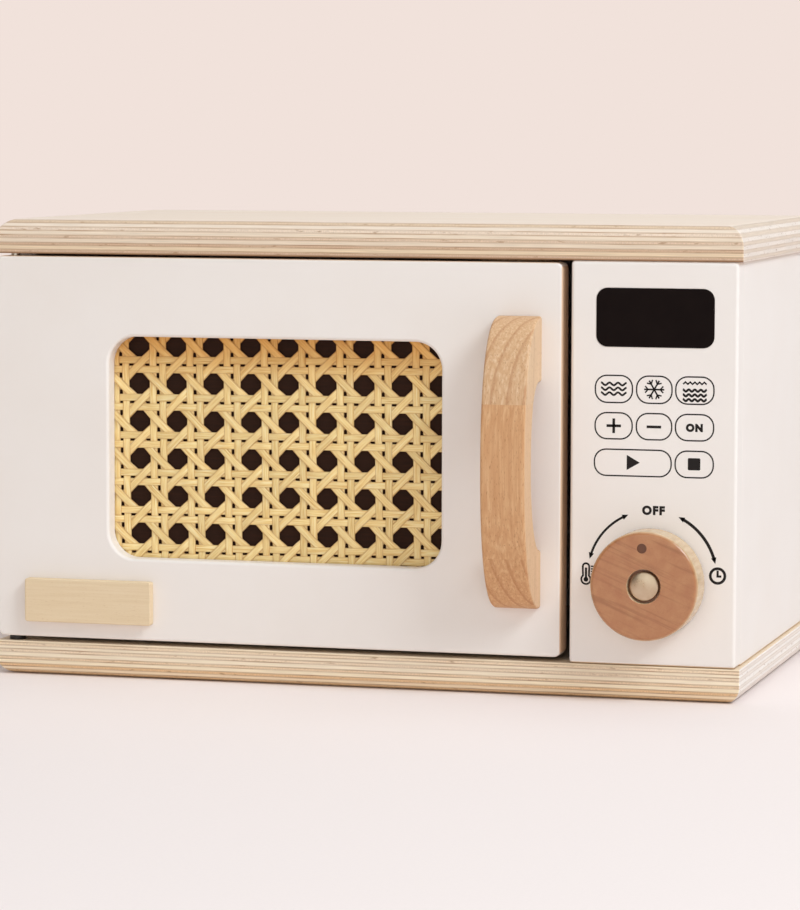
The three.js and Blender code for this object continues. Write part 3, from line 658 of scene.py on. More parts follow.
# Keys, their signs and the dial's scale are screen printed on the panel in one dark brown ink. The
# film is thin and lies flat on the paint.
film_front = panel_front - 0.03 * mm
film_back = panel_front + 0.01 * mm
key_line = 0.6
key_corner = 5.0
keys = (
    (10.7, 26.6, 111.0, 122.4), (28.4, 43.5, 111.0, 122.4), (45.1, 61.3, 111.0, 122.4),
    (10.7, 26.6, 95.7, 106.7), (28.4, 43.5, 95.7, 106.7), (45.1, 61.3, 95.7, 106.7),
    (10.5, 43.4, 80.2, 91.3), (45.1, 61.3, 80.2, 91.3),
)
dial_arc_middle = Vector((35.6, 38.2))
dial_radius = 27.6
ink_tones = ((0.3, "#130B09"), (0.7, "#1E1411"))
ink = simple_material("screen_print_ink", 0.4, 3, ink_tones, (0.5, 0.65), 0.1, 0.01, specular=0.3)
print_shape = bmesh.new()


def on_panel(x, y, z):
    """The place of a spot that is measured from the panel's lower left corner."""
    return panel_corner + Vector((x * mm, y, z * mm))


def film(strip):
    """A closed film over a strip of point pairs, in millimetres from the panel's lower left corner."""
    rows = []
    for pair in strip:
        spots = [on_panel(x, y, z) for y in (film_front, film_back) for x, z in pair]
        rows.append([print_shape.verts.new(spot) for spot in spots])
    for a, b in zip(rows, rows[1:]):
        for i, j in ((0, 1), (1, 3), (3, 2), (2, 0)):
            print_shape.faces.new((a[i], a[j], b[j], b[i]))
    if rows[0] is not rows[-1]:
        for end in (rows[0], rows[-1]):
            print_shape.faces.new((end[0], end[1], end[3], end[2]))


def line(points, width, closed=False):
    """A printed line of even width through points."""
    count = len(points)
    strip = []
    for i, (x, z) in enumerate(points):
        here = Vector((x, z))
        before = Vector(points[i - 1]) if closed or i else here * 2 - Vector(points[1])
        inner = closed or i < count - 1
        after = Vector(points[(i + 1) % count]) if inner else here * 2 - Vector(points[-2])
        first = (here - before).normalized()
        second = (after - here).normalized()
        out = Vector((-first.y - second.y, first.x + second.x)).normalized()
        reach = width / 2 / max(out.dot(Vector((-first.y, first.x))), 0.35)
        strip.append((tuple(here + out * reach), tuple(here - out * reach)))
    if closed:
        strip.append(strip[0])
    film(strip)


def filled(points):
    """A printed area inside an outline."""
    loops = [[print_shape.verts.new(on_panel(x, y, z)) for x, z in points] for y in (film_front, film_back)]
    for i in range(len(points)):
        j = (i + 1) % len(points)
        print_shape.faces.new((loops[0][i], loops[0][j], loops[1][j], loops[1][i]))
    for loop in loops:
        print_shape.faces.new(loop)


def arc(x, z, radius, start, end, count=24):
    """Points on a circle between two turns in degrees."""
    turns = [math.radians(start + (end - start) * i / count) for i in range(count + 1)]
    return [(x + radius * math.cos(t), z + radius * math.sin(t)) for t in turns]


def key_outline(x0, x1, z0, z1, corner, count=8):
    """Points round a key."""
    left, right, bottom, top = x0 + corner, x1 - corner, z0 + corner, z1 - corner
    points = []
    for i, (x, z) in enumerate(((right, top), (left, top), (left, bottom), (right, bottom))):
        points += arc(x, z, corner, 90 * i, 90 * (i + 1), count)
    return points


def wave(x, z, width, height, turns, stroke, count=48):
    """A wavy line about a middle point."""
    places = [i / count for i in range(count + 1)]
    line([(x + width * (p - 0.5), z + height * math.cos(math.tau * turns * p)) for p in places], stroke)


for key in keys:
    line(key_outline(*key, key_corner), key_line, closed=True)
for i in range(3):
    wave(18.6, 118.8 - 2.05 * i, 11.0, 0.55, 3, 0.85)
for i in range(6):
    turn = math.radians(60 * i)
    reach = Vector((math.cos(turn), math.sin(turn)))
    middle = Vector((35.9, 116.8))
    line([middle, middle + reach * 4.3], 0.7)
    for lean in (-48, 48):
        branch = Vector((math.cos(turn + math.radians(lean)), math.sin(turn + math.radians(lean))))
        line([middle + reach * 2.6, middle + reach * 2.6 + branch * 1.9], 0.6)
line([(48.2 + 1.0 * i, 119.8 + (0.45 if i % 2 else -0.45)) for i in range(11)], 0.65)
for i in range(3):
    wave(53.2, 116.7 - 2.0 * i, 10.2, 0.42, 4, 0.95)
line([(15.6, 101.2), (21.8, 101.2)], 1.15)
line([(18.7, 98.1), (18.7, 104.3)], 1.15)
line([(32.8, 101.1), (39.0, 101.1)], 1.15)
filled([(24.4, 82.7), (30.0, 85.9), (24.4, 89.1)])
filled(key_outline(50.5, 55.8, 83.3, 88.4, 0.5, 4))
for start, end, stroke in ((163.4, 115.0, 1.0), (63.1, 15.6, 1.3)):
    line(arc(*dial_arc_middle, dial_radius, start, end), stroke)
    for turn, way in ((start, 1 if start > end else -1), (end, -1 if start > end else 1)):
        spoke = Vector((math.cos(math.radians(turn)), math.sin(math.radians(turn))))
        tangent = Vector((-spoke.y, spoke.x)) * way
        tip = dial_arc_middle + spoke * dial_radius
        rear = tip - tangent * 1.2
        filled([tip + tangent * 1.5, rear + spoke * 1.15, rear - spoke * 1.15])
line(arc(63.6, 39.2, 3.1, 0, 360)[:-1], 1.15, closed=True)
line([(63.6, 41.5), (63.6, 39.0), (65.2, 39.0)], 0.95)
line(arc(7.2, 35.9, 2.0, 130, 410, 20) + arc(7.2, 41.3, 1.4, 0, 180, 10), 0.8, closed=True)
filled(arc(7.2, 35.9, 1.05, 0, 330, 11))
line([(7.2, 36.0), (7.2, 40.9)], 0.95)
for i in range(4):
    line([(9.3, 38.2 + 1.1 * i), (10.7, 38.2 + 1.1 * i)], 0.6)
fit(shaped("panel_print", print_shape), "cabinet", ink, "black_gloss", sharp=20)
for name, word, x, z, height in (
    ("key_word", "ON", 53.2, 99.7, 2.85), ("dial_word", "OFF", 36.0, 64.3, 3.3),
):
    letters = bpy.data.curves.new(name, "FONT")
    letters.body = word
    letters.align_x = "CENTER"
    letters.size = height / 0.69 * mm
    letters.extrude = 0.02 * mm
    letters.offset = 0.31 * mm
    letters.space_character = 1.22
    written = piece(name, letters)
    mesh = bpy.data.meshes.new_from_object(written)
    bpy.data.objects.remove(written)
    stood = Matrix.Rotation(math.radians(90), 4, "X")
    mesh.transform(Matrix.Translation(on_panel(x, panel_front - 0.01 * mm, z)) @ stood)
    shape = bmesh.new()
    shape.from_mesh(mesh)
    bmesh.ops.remove_doubles(shape, verts=shape.verts, dist=0.001 * mm)
    fit(shaped(name, shape), "cabinet", ink, "black_gloss", sharp=20)

# The door is one painted board with a round-cornered window. All front edges are softened, the
# window's lip most visibly, and the rear has a rebate for the cane and its backing board.
door_corner_radius = 3 * mm
door_edge_radius = 1.0 * mm
window_lip_radius = 1.5 * mm
window_width = 150 * mm
window_height = 97 * mm
window_corner_radius = 12 * mm
window_right_margin = 52.5 * mm
window_top_margin = 34.5 * mm
rebate_margin = 10 * mm
rebate_front = 7.5 * mm
strike_seat_radius = 5.15 * mm
small_head_radius = 2.3 * mm
small_head_height = 1.2 * mm
tan_top_depth = 0.3 * mm
tan_side_depth = 0.4 * mm
cut_through = 2 * mm
door_low, door_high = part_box("door_frame")
cane_low, cane_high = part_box("cane_webbing")
window_x = door_high.x - window_right_margin - window_width / 2
window_z = door_high.z - window_top_margin - window_height / 2
window_middle = Vector((window_x, 0, window_z))
window_half = Vector((window_width / 2, 0, window_height / 2))
door = slab("door_piece", door_low, door_high, 1, door_corner_radius, door_edge_radius, door_edge_radius)
lip_low = window_middle - window_half + Vector((0, door_low.y, 0))
lip_high = window_middle + window_half + Vector((0, door_high.y + cut_through, 0))
window = slab("window", lip_low, lip_high, 1, window_corner_radius, window_lip_radius, 0, steps=12, flare=1)
shape = bmesh.new()
shape.from_mesh(window.data)
front_cap = [v for v in shape.verts if v.co.y < door_low.y + 0.001 * mm]
cap = [f for f in shape.faces if all(v in front_cap for v in f.verts)]
for vert in bmesh.ops.extrude_face_region(shape, geom=cap)["geom"]:
    if isinstance(vert, bmesh.types.BMVert):
        vert.co.y -= cut_through
bmesh.ops.delete(shape, geom=cap, context="FACES")
bmesh.ops.recalc_face_normals(shape, faces=shape.faces)
shape.to_mesh(window.data)
shape.free()
rebate_reach = window_half + Vector((rebate_margin, 0, rebate_margin))
rebate_low = window_middle - rebate_reach
rebate_high = window_middle + rebate_reach
rebate_low.y = door_low.y + rebate_front
rebate_high.y = door_high.y + cut_through
rebate = slab("rebate", rebate_low, rebate_high, 1, 0.5 * mm, 0, 0)
strike_low, strike_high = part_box("strike_plate")
strike_middle = (strike_low + strike_high) / 2
strike_ends = (strike_low.y - seat_gap, door_high.y + overrun)
strike_seat = rod("strike_seat", strike_seat_radius, *strike_ends, strike_middle, 1, 48)
handle_screws = ["handle_screw_1", "handle_screw_2"]
head_holes = [screw_hole(n, 1, door_high.y - head_sink, door_high.y + overrun) for n in handle_screws]
carve(door, window, rebate, strike_seat, *head_holes)
# The door's top edge and its right side face are tinted tan.
tan_edges = (door_high.z - tan_top_depth, door_high.x - tan_side_depth)
door_paint = satin_paint("satin_white_door_paint", *tan_edges)
fit(door, "door", door_paint, "white_paint", "door_frame")
screws("handle_screws", handle_screws, 1, 1, "door")
small_screws = ["backing_screw_%d" % i for i in range(1, 5)]
screws("backing_screws", small_screws, 1, 1, "door", small_head_radius, small_head_height)

# Cane webbing fills the window: flat strands of peeled rattan in upright and level pairs, with a
# slanting strand each way through every pair, woven over and under so that eight-sided holes stay.
cane_shift = Vector((4.8, 0, -4.4)) * mm
cane_turn = math.radians(-0.65)
cane_margin = 1 * mm
strand_reach = 0.26
strand_step = 0.95 * mm
strand_edge_radius = 0.13 * mm
fibre_length = 9 * mm
fibre_width = 0.33 * mm
shadow_depth = 26 * mm

# Peeled rattan: a straw gold skin with fine fibres along each strand, each a little different from the
# next, and a faint natural shine. Painted shade darkens each strand towards its edges and browns the
# rows under the window's upper lip.
rattan, tree, here = new_material("peeled_rattan")
fibre_place = add(tree, "ShaderNodeAttribute", attribute_name="fibre").outputs["Vector"]
strand_tone = add(tree, "ShaderNodeAttribute", attribute_name="strand").outputs["Fac"]
fibre = noise(tree, fibre_place, None, 4)
tone = ramp(tree, fibre, (0.28, "#D39F52"), (0.42, "#EECA82"), (0.58, "#FAE1A2"), (0.78, "#FEEFC4"))
mottled = blend(tree, ranged(tree, noise(tree, here, 7, 3), 0.35, 0.75, high=0.5), tone, "#E8C688")
varied = scaled(tree, mottled, ranged(tree, strand_tone, low=0.92, high=1.06))
from_middle = maths(tree, "ABSOLUTE", split(tree, fibre_place)["Y"])
# Painted shade: each strand turns darker brown towards its edges.
edge_shade_share = ranged(tree, from_middle, 3.3, 4.9, high=0.6, smooth=True)
window_top = window_middle.z + window_half.z
height = split(tree, here)["Z"]
# Painted shade: the cane is multiplied browner towards the window's upper lip, over the depth of the lip's
# shadow.
lip_shade_share = ranged(tree, height, window_top - shadow_depth, window_top, smooth=True)
edge_and_lip_shaded = blend(tree, lip_shade_share, blend(tree, edge_shade_share, varied, "#B0763C"), "#F0CFA0", blend_type="MULTIPLY")
dress(tree, edge_and_lip_shaded, ranged(tree, fibre, low=0.42, high=0.6), fibre, 0.5, 0.08, specular=0.45)

# Strands of one kind lie side by side, each a flat ribbon with eased edges that sways a little and is
# cut off at the rebate. Each carries its own number and its fibres' places for the rattan's grain.
no_place = (0.0, 0.0, 0.0)
strand_tree, given, _ = new_group("strands of one kind", {
    "Direction": no_place, "First place": no_place, "Step": no_place, "Count": 1, "Seed": 0,
    "Height": 0.0, "Width": 0.0, "Thickness": 0.0, "Low corner": no_place, "High corner": no_place,
}, "Strands")
tree = strand_tree


def stored(geometry, name, value, kind="FLOAT", domain="POINT"):
    """Keeps a value of the strands under a name."""
    inputs = {"Geometry": geometry, "Name": name, "Value": value}
    return add(tree, "GeometryNodeStoreNamedAttribute", inputs, data_type=kind, domain=domain)


far = scaled(tree, given["Direction"], strand_reach)
near = scaled(tree, given["Direction"], -strand_reach)
ray = add(tree, "GeometryNodeCurvePrimitiveLine", {"Start": near, "End": far})
fine = add(tree, "GeometryNodeResampleCurve", {"Curve": ray, "Length": strand_step}, mode="LENGTH")
row = {"Count": given["Count"], "Start Location": given["First place"], "Offset": given["Step"]}
rows = add(tree, "GeometryNodeMeshLine", row, mode="OFFSET")
laid = add(tree, "GeometryNodeInstanceOnPoints", {"Points": rows, "Instance": fine})
own = add(tree, "FunctionNodeRandomValue", {"Seed": given["Seed"]}, data_type="FLOAT")
marked = stored(laid, "strand", own, domain="INSTANCE")
single = add(tree, "GeometryNodeRealizeInstances", {"Geometry": marked})
sway_noise = noise(tree, add(tree, "GeometryNodeInputPosition"), 14, 1)
sway_centre = vectors(tree, "SUBTRACT", sway_noise.outputs["Color"], (0.5, 0.5, 0.5))
sway = vectors(tree, "MULTIPLY", sway_centre, (0.5 * mm, 0.5 * mm, 0))
moved = vectors(tree, "ADD", sway, joined(tree, z=given["Height"]))
woven = add(tree, "GeometryNodeSetPosition", {"Geometry": single, "Offset": moved})
clip_place = add(tree, "GeometryNodeInputPosition")
above = vectors(tree, "SUBTRACT", clip_place, given["High corner"])
below = vectors(tree, "SUBTRACT", given["Low corner"], clip_place)
parts = split(tree, vectors(tree, "MAXIMUM", above, below))
beyond = maths(tree, "MAXIMUM", parts["X"], parts["Y"])
is_outside = maths(tree, "GREATER_THAN", beyond, 0.0)
kept = add(tree, "GeometryNodeDeleteGeometry", {"Geometry": woven, "Selection": is_outside}, domain="POINT")
upright = add(tree, "GeometryNodeSetCurveNormal", {"Curve": kept}, mode="Z_UP")
along = add(tree, "GeometryNodeSplineParameter").outputs["Length"]
lengthwise = stored(upright, "along", times(tree, along, 1 / fibre_length))
section_size = {"Width": given["Width"], "Height": given["Thickness"]}
flat = add(tree, "GeometryNodeCurvePrimitiveQuadrilateral", section_size)
halved = add(tree, "GeometryNodeSubdivideCurve", {"Curve": flat, "Cuts": 1})
eased = add(tree, "GeometryNodeFilletCurve", {"Curve": halved, "Radius": strand_edge_radius}, mode="POLY")
side = split(tree, add(tree, "GeometryNodeInputPosition"))
half_share = maths(tree, "DIVIDE", side["X"], given["Width"])
thinned = maths(tree, "MULTIPLY_ADD", times(tree, half_share, half_share), -1.7, 1.0)
rounded = joined(tree, side["X"], times(tree, side["Y"], thinned))
section = add(tree, "GeometryNodeSetPosition", {"Geometry": eased, "Position": rounded})
across = stored(section, "across", times(tree, side["X"], 1 / fibre_width))
sweep = {"Curve": lengthwise, "Profile Curve": across, "Fill Caps": True}
swept = add(tree, "GeometryNodeCurveToMesh", sweep)
named = [
    add(tree, "GeometryNodeInputNamedAttribute", {"Name": key}, data_type="FLOAT")
    for key in ("along", "across", "strand")
]
fibre_spot = joined(tree, named[0], named[1], times(tree, named[2], 57.0))
add(tree, "NodeGroupOutput", {0: stored(swept, "fibre", fibre_spot, "FLOAT_VECTOR")})

# The net is six kinds of strands, two upright, two level and two slanting, whose heights rise and fall
# with the crossings. It hangs a little askew and a little off the window's middle.
net_middle = window_middle + cane_shift
net_low = cane_low - net_middle + Vector((cane_margin, 0, cane_margin))
net_high = cane_high - net_middle - Vector((cane_margin, 0, cane_margin))
net_values = {
    "Pitch X": 17.0 * mm, "Upright spacing": 4.5 * mm, "Upright width": 3.2 * mm,
    "Pitch Z": 16.4 * mm, "Level spacing": 4.1 * mm, "Level width": 3.1 * mm,
    "Slant width": 3.4 * mm, "Thickness": 0.42 * mm, "Pair lift": 0.22 * mm, "Slant lift": 0.46 * mm,
    "Low corner": (net_low.x, net_low.z, -1.0), "High corner": (net_high.x, net_high.z, 1.0),
    "Place": (net_middle.x, (cane_low.y + cane_high.y) / 2, net_middle.z), "Finish": rattan,
}
tree, given, net_inputs = new_group("woven cane net", {"Sheet": None, **net_values}, "Net")
spot = split(tree, add(tree, "GeometryNodeInputPosition"))


def crossing_height(along, pitch, spacing):
    """Down on one side of a crossing and up on the other, level again midway to the next one."""
    half = times(tree, pitch, 0.5)
    from_crossing = maths(tree, "SUBTRACT", along, half)
    wrapped = maths(tree, "WRAP", from_crossing, half, times(tree, half, -1.0))
    reach = times(tree, spacing, 0.42)
    least = times(tree, reach, -1.0)
    rise = ranged(tree, wrapped, least, reach, -1.0, 1.0, smooth=True)
    away = maths(tree, "ABSOLUTE", wrapped)
    start = times(tree, spacing, 0.85)
    end = times(tree, spacing, 1.35)
    settle = ranged(tree, away, start, end, 1.0, 0.0, smooth=True)
    return times(tree, times(tree, rise, settle), given["Pair lift"])


upright_height = crossing_height(spot["Y"], given["Pitch Z"], given["Level spacing"])
level_height = crossing_height(spot["X"], given["Pitch X"], given["Upright spacing"])
ripple = maths(tree, "COSINE", times(tree, maths(tree, "DIVIDE", spot["X"], given["Pitch X"]), math.tau))
steep = ranged(tree, ripple, -0.75, 0.75, -1.0, 1.0, smooth=True)
slant_height = times(tree, steep, given["Slant lift"])
half_upright = times(tree, given["Upright spacing"], 0.5)
half_level = times(tree, given["Level spacing"], 0.5)
first_x = times(tree, given["Pitch X"], -6.5)
first_z = times(tree, given["Pitch Z"], -4.5)
step_x = joined(tree, given["Pitch X"])
step_z = joined(tree, y=given["Pitch Z"])
falling = joined(tree, given["Pitch X"], times(tree, given["Pitch Z"], -1.0))
slant_down = vectors(tree, "NORMALIZE", falling)
slant_up = vectors(tree, "NORMALIZE", joined(tree, given["Pitch X"], given["Pitch Z"]))
slant_first = joined(tree, times(tree, given["Pitch X"], -10.5))
left = joined(tree, maths(tree, "SUBTRACT", first_x, half_upright))
right = joined(tree, maths(tree, "ADD", first_x, half_upright))
upper = joined(tree, y=maths(tree, "ADD", first_z, half_level))
lower = joined(tree, y=maths(tree, "SUBTRACT", first_z, half_level))
together = add(tree, "GeometryNodeJoinGeometry")
for seed, (direction, first, step, count, height, way, width) in enumerate((
    ((0, 1, 0), left, step_x, 14, upright_height, 1, "Upright width"),
    ((0, 1, 0), right, step_x, 14, upright_height, -1, "Upright width"),
    ((1, 0, 0), upper, step_z, 10, level_height, 1, "Level width"),
    ((1, 0, 0), lower, step_z, 10, level_height, -1, "Level width"),
    (slant_down, slant_first, step_x, 22, slant_height, -1, "Slant width"),
    (slant_up, slant_first, step_x, 22, slant_height, 1, "Slant width"),
)):
    group = add(tree, "GeometryNodeGroup", node_tree=strand_tree)
    add(tree, group, {
        "Direction": direction, "First place": first, "Step": step, "Count": count,
        "Height": times(tree, height, way), "Width": given[width], "Thickness": given["Thickness"],
        "Low corner": given["Low corner"], "High corner": given["High corner"], "Seed": seed + 11,
    })
    tree.links.new(group.outputs[0], together.inputs[0])
stood = add(tree, "GeometryNodeTransform", {
    "Geometry": together, "Translation": given["Place"], "Rotation": (math.radians(90), cane_turn, 0),
})
realised(tree, stood, given["Finish"])
net = grown("cane_net", [], tree, net_inputs, net_values)
fit(net, "door", rattan, "cane", "cane_webbing", sharp=60)

# Behind the cane lies a thin dark stained board that closes the door and makes every hole of the
# weave read as one even dark brown.
dark_tones = ((0.3, "#271308"), (0.7, "#321A0D"))
dark_board = simple_material(
    "dark_stained_board", (14, 1, 0.8), 4, dark_tones, (0.75, 0.9), 0.3, 0.05, specular=0.2,
)
board_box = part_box("cane_backing_board")
backing = slab("backing_board_piece", *board_box, 1, 0.5 * mm, 0, 0.2 * mm, steps=3)
fit(backing, "door", dark_board, "dark_board", "cane_backing_board")

# The handle is a bow of solid beech, sawn to its curve from a glued block, rounded over and oiled,
# and screwed on from inside the door.
handle_low, handle_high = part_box("handle")
crown_power = 2.3
arch_length = 71.2 * mm
arch_rise = 16.9 * mm
arch_drop = 1.4 * mm
arch_upper_power = 2.7
arch_lower_power = 2.0
handle_edge_radius = 1.3 * mm
joint_upper = 126.1 * mm
joint_lower = 61.1 * mm


def beech(name, layer_turn, layer_width, base_shade, dark_shade, line_shade, flecks=True):
    """Oiled beech: warm tan with growth layers that show as arcs where a curve cuts through them, and the
    short dark flecks that beech has along its grain."""
    material, tree, here = new_material(name)
    spot = split(tree, here)
    above = maths(tree, "GREATER_THAN", spot["Z"], joint_upper)
    block = maths(tree, "MULTIPLY_ADD", maths(tree, "LESS_THAN", spot["Z"], joint_lower), 2.0, above)
    own_place = vectors(tree, "ADD", here, joined(tree, times(tree, block, 0.043)))
    layers = add(tree, "ShaderNodeMapping", {"Vector": own_place, "Rotation": (0, 0, layer_turn)})
    depth = split(tree, layers)
    layer_share = times(tree, depth["Y"], 1 / layer_width)
    bent = maths(tree, "MULTIPLY_ADD", noise(tree, own_place, 40, 2), 0.5, layer_share)
    season = maths(tree, "FRACT", bent)
    ring = ramp(tree, season, (0.0, 0.0), (0.7, 0.12), (0.9, 1.0), (0.96, 0.5), (1.0, 0.0))
    grain = noise(tree, own_place, (0.9, 0.9, 26), 5)
    base = ramp(tree, grain, (0.25, dark_shade), (0.5, base_shade), (0.8, "#E6C8A4"))
    ring_most = ranged(tree, maths(tree, "LESS_THAN", block, 0.5), low=0.6, high=0.12)
    ringed = blend(tree, times(tree, ring, ring_most), base, line_shade)
    deeper = times(tree, maths(tree, "SUBTRACT", 1.0, above), 0.42)
    facing = split(tree, facing_way(tree))
    on_side = ranged(tree, maths(tree, "ABSOLUTE", facing["X"]), 0.7, 0.95, high=0.45)
    paled = blend(tree, on_side, blend(tree, deeper, ringed, "#F2CB98", blend_type="MULTIPLY"), "#EBD0AE")
    fleck = noise(tree, own_place, (0.35, 0.35, 2.2), 1)
    flecked = blend(tree, ranged(tree, fleck, 0.62, 0.74, high=0.6 if flecks else 0.1), paled, "#97602F")
    dress(tree, flecked, ranged(tree, grain, low=0.48, high=0.64), grain, 0.3, 0.06, specular=0.35)
    return material


def bow(length, rise, upper_power, lower_power, middle, steps):
    """Points along a flattened half oval, from its upper end to its lower one."""
    points = []
    for i in range(steps + 1):
        turn = math.pi * i / steps
        side = 1 if math.cos(turn) > 0 else -1
        power = upper_power if side > 0 else lower_power
        along = side * abs(math.cos(turn)) ** (2 / power)
        points.append((rise * max(math.sin(turn), 0) ** (2 / power), middle + length / 2 * along))
    return points


handle_middle = (handle_low.z + handle_high.z) / 2
handle_proud = handle_high.y - handle_low.y
crown = bow(handle_high.z - handle_low.z, handle_proud, crown_power, crown_power, handle_middle, 72)
arch = bow(arch_length, arch_rise, arch_upper_power, arch_lower_power, handle_middle - arch_drop, 48)[::-1]
behind = 3 * mm
outline = [(-behind, crown[0][1])] + crown + [(-behind, crown[-1][1])]
outline += [(-behind, arch[0][1])] + arch + [(-behind, arch[-1][1])]
shape = bmesh.new()
near_face = [shape.verts.new((handle_low.x, handle_high.y - depth, z)) for depth, z in outline]
shape.faces.new(near_face)
pushed = bmesh.ops.extrude_face_region(shape, geom=list(shape.faces))["geom"]
for vert in pushed:
    if isinstance(vert, bmesh.types.BMVert):
        vert.co.x = handle_high.x
bmesh.ops.recalc_face_normals(shape, faces=shape.faces)
rims = [e for e in shape.edges if abs(e.verts[0].co.x - e.verts[1].co.x) < 0.01 * mm]
rounding = {"segments": 5, "profile": 0.5, "affect": "EDGES", "clamp_overlap": False}
bmesh.ops.bevel(shape, geom=rims, offset=handle_edge_radius, **rounding)
bmesh.ops.bisect_plane(
    shape, geom=list(shape.verts) + list(shape.edges) + list(shape.faces), dist=0.0001 * mm,
    plane_co=(0, handle_high.y, 0), plane_no=(0, 1, 0), clear_outer=True,
)
open_edges = [e for e in shape.edges if e.is_boundary]
bmesh.ops.holes_fill(shape, edges=open_edges, sides=0)
oiled_beech = beech("oiled_beech", math.radians(-59), 5.8 * mm, "#D4AB83", "#C99C72", "#B47E54")
fit(shaped("handle_piece", shape), "door", oiled_beech, "beech", "handle")

# A small bare plate of pale hardwood is glued to the door's lower left corner. Its face is sanded
# and left without a finish.
plate_corner_radius = 1.2 * mm
plate_edge_radius = 0.5 * mm
bare_wood, tree, here = new_material("bare_pale_hardwood")
grain = noise(tree, here, (30, 2, 0.9), 4, distortion=0.2)
tone = ramp(tree, grain, (0.3, "#E2C9A5"), (0.5, "#E6CEAB"), (0.75, "#E9D3B3"))
pores = ranged(tree, noise(tree, here, (1.6, 0.4, 0.25), 1), 0.66, 0.76, high=0.35)
rough = ranged(tree, grain, low=0.6, high=0.75)
dress(tree, blend(tree, pores, tone, "#BF9463"), rough, grain, 0.3, 0.05, specular=0.25)
plate = slab("plate_piece", *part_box("name_plate"), 1, plate_corner_radius, plate_edge_radius, 0)
fit(plate, "door", bare_wood, "pale_wood", "name_plate")

# The knob is turned from beech across its grain, so the face shows dark end grain and the wall
# pale side grain. Its rim is rounded and a deep counterbore holds the bolt's cap.
knob_radius = 23 * mm
knob_rim_radius = 1.8 * mm
counterbore_radius = 7.2 * mm
counterbore_depth = 5 * mm
knob_bore_radius = 3.2 * mm
knob_ease = 0.4 * mm
dot_radius = 2 * mm
dot_depth = 0.8 * mm
dot_offset = 16 * mm
dot_turn = math.radians(2.8)

# Turned and oiled beech end: reddish brown with faint rays out of the middle and soft blotches,
# and a straw-coloured wall whose grain runs to the back.
end_beech, tree, here = new_material("turned_beech")
centre = vectors(tree, "SUBTRACT", here, tuple(knob_middle))
facing = split(tree, facing_way(tree))
face_share = ranged(tree, times(tree, facing["Y"], -1.0), 0.25, 0.9)
blotch = noise(tree, centre, 6, 4, roughness=0.6)
face = ramp(tree, blotch, (0.3, "#AD714B"), (0.5, "#B37951"), (0.72, "#BA8358"))
ray_place = add(tree, "ShaderNodeMapping", {
    "Vector": centre, "Rotation": (0, math.radians(23), 0), "Scale": (34 * mm, 20 * mm, 1.6 * mm),
}, vector_type="TEXTURE")
rays = ranged(tree, noise(tree, ray_place, None, 4, distortion=0.2), 0.52, 0.66, high=0.5)
fleck = noise(tree, centre, (0.5, 6, 0.5), 2)
flecks = ranged(tree, fleck, 0.6, 0.8, high=0.4)
flecked = blend(tree, flecks, blend(tree, rays, face, "#8E5838"), "#8E5A3A")
side_grain = noise(tree, centre, (1.6, 12, 1.6), 4)
wall = ramp(tree, side_grain, (0.3, "#C7A67D"), (0.5, "#D1B38C"), (0.75, "#DAC09D"))
spot = split(tree, centre)
dot_x = maths(tree, "ADD", spot["X"], dot_offset * math.sin(dot_turn))
dot_z = maths(tree, "SUBTRACT", spot["Z"], dot_offset * math.cos(dot_turn))
dot_far = vectors(tree, "LENGTH", joined(tree, x=dot_x, z=dot_z))
in_dot = ranged(tree, dot_far.outputs["Value"], dot_radius + 0.1 * mm, dot_radius, high=0.95)
dotted = blend(tree, in_dot, blend(tree, face_share, wall, flecked), "#6B3A1A")
rough = ranged(tree, blotch, low=0.2, high=0.3)
dress(tree, dotted, rough, fleck, 0.2, 0.05, specular=0.5, coat=0.2, coat_rough=0.12)

front, rear = knob_low.y, knob_high.y
profile = [(knob_bore_radius, rear), (knob_radius - knob_ease, rear), (knob_radius, rear - knob_ease)]
for i in range(9):
    turn = math.radians(90) * i / 8
    inset = knob_rim_radius * (1 - math.cos(turn))
    profile.append((knob_radius - inset, front + knob_rim_radius * (1 - math.sin(turn))))
for i in range(5):
    turn = math.radians(90) * i / 4
    inset = knob_ease * (1 - math.sin(turn))
    profile.append((counterbore_radius + inset, front + knob_ease * (1 - math.cos(turn))))
cap_seat = front + counterbore_depth
profile += [(counterbore_radius, cap_seat), (knob_bore_radius, cap_seat), (knob_bore_radius, rear)]
knob = turned("knob_piece", profile, knob_middle, 1, 128)
dot_middle = knob_middle + Vector((-dot_offset * math.sin(dot_turn), 0, dot_offset * math.cos(dot_turn)))
carve(knob, rod("dot", dot_radius, front - overrun, front + dot_depth, dot_middle, 1, 48))
fit(knob, "knob_set", end_beech, "beech_end_grain", "knob")

# The bolt through the knob is of nickel plated steel. It has a round cap with a low dome and runs
# through the panel to a washer and a lock nut.
cap_radius = 6.1 * mm
bolt_radius = 3 * mm
bolt_chamfer = 0.5 * mm

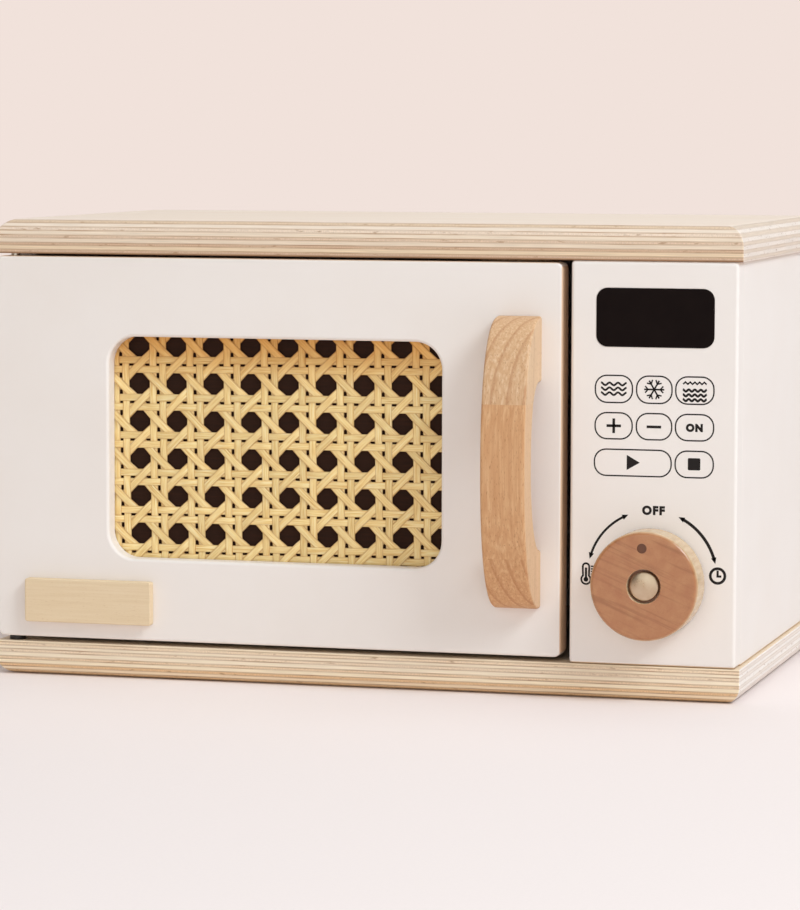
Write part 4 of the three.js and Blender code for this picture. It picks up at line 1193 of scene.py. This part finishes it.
# Polished nickel on a turned cap: smooth warm metal, a little smudged by fingers, which mirrors the
# pale table below and the dimmer room above.
polished, tree, here = new_material("polished_nickel")
smudge = noise(tree, here, 5, 3, distortion=0.5)
rough = ranged(tree, smudge, 0.3, 0.7, low=0.27, high=0.31)
wear = noise(tree, here, 2.5, 1)
dress(tree, ramp(tree, smudge, (0.35, "#C6AC8F"), (0.6, "#D0B99E")), rough, wear, 0.08, 0.1, metal=1.0)
cap_low, cap_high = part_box("knob_bolt")
cap_edge = front + 1.3 * mm
dome_height = cap_edge - cap_low.y
dome = [(0.0, cap_low.y)]
for i in range(1, 11):
    share = i / 10
    dome.append((cap_radius * share * 0.95, cap_low.y + dome_height * 0.95 * share ** 2.2))
dome += [(cap_radius * 0.985, cap_edge + 0.1 * mm), (cap_radius, cap_edge + 0.35 * mm)]
dome += [(cap_radius, cap_seat), (bolt_radius, cap_seat), (bolt_radius, cap_high.y - bolt_chamfer)]
dome += [(bolt_radius - bolt_chamfer, cap_high.y), (0.0, cap_high.y)]
fit(turned("bolt_piece", dome, knob_middle, 1, 96), "knob_set", polished, "steel", "knob_bolt", sharp=30)

# What stays in its plain shape is out of sight with the door shut: pins, dowels, the catch and its
# magnet, the felt and steel washers, the lock nut and the nylon washer under the door.
tones = ("#DCB587", "#CDA071", "#BD8C5D")
plain_beech = beech("planed_beech", math.radians(20), 4.0 * mm, *tones, flecks=False)
felt_tones = ((0.3, "#BBAC99"), (0.7, "#DACEBF"))
felt = simple_material("pressed_wool_felt", 0.35, 6, felt_tones, (0.9, 1.0), 0.8, 0.2, sheen=0.3)
# The washer under the door is near black so that it reads as the shade of the gap where it shows: painted
# shade.
gap_shade_nylon_tones = ((0.3, "#241D1A"), (0.7, "#2E2723"))
nylon = simple_material("nylon_darkened_as_gap_shade", 2, 3, gap_shade_nylon_tones, (0.38, 0.5), 0.1, 0.03)
for finish, nodes in (
    (plain_beech, ["catch_block"] + ["top_dowel_%d" % i for i in range(1, 7)]),
    (nickel, ["lower_hinge_pin", "upper_hinge_pin", "catch_magnet", "strike_plate"]),
    (nickel, ["back_washer", "lock_nut"]),
    (felt, ["knob_spacer"]),
    (nylon, ["hinge_washer"]),
):
    for node in nodes:
        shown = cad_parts[node]
        shown.data.materials.clear()
        shown.data.materials.append(finish)
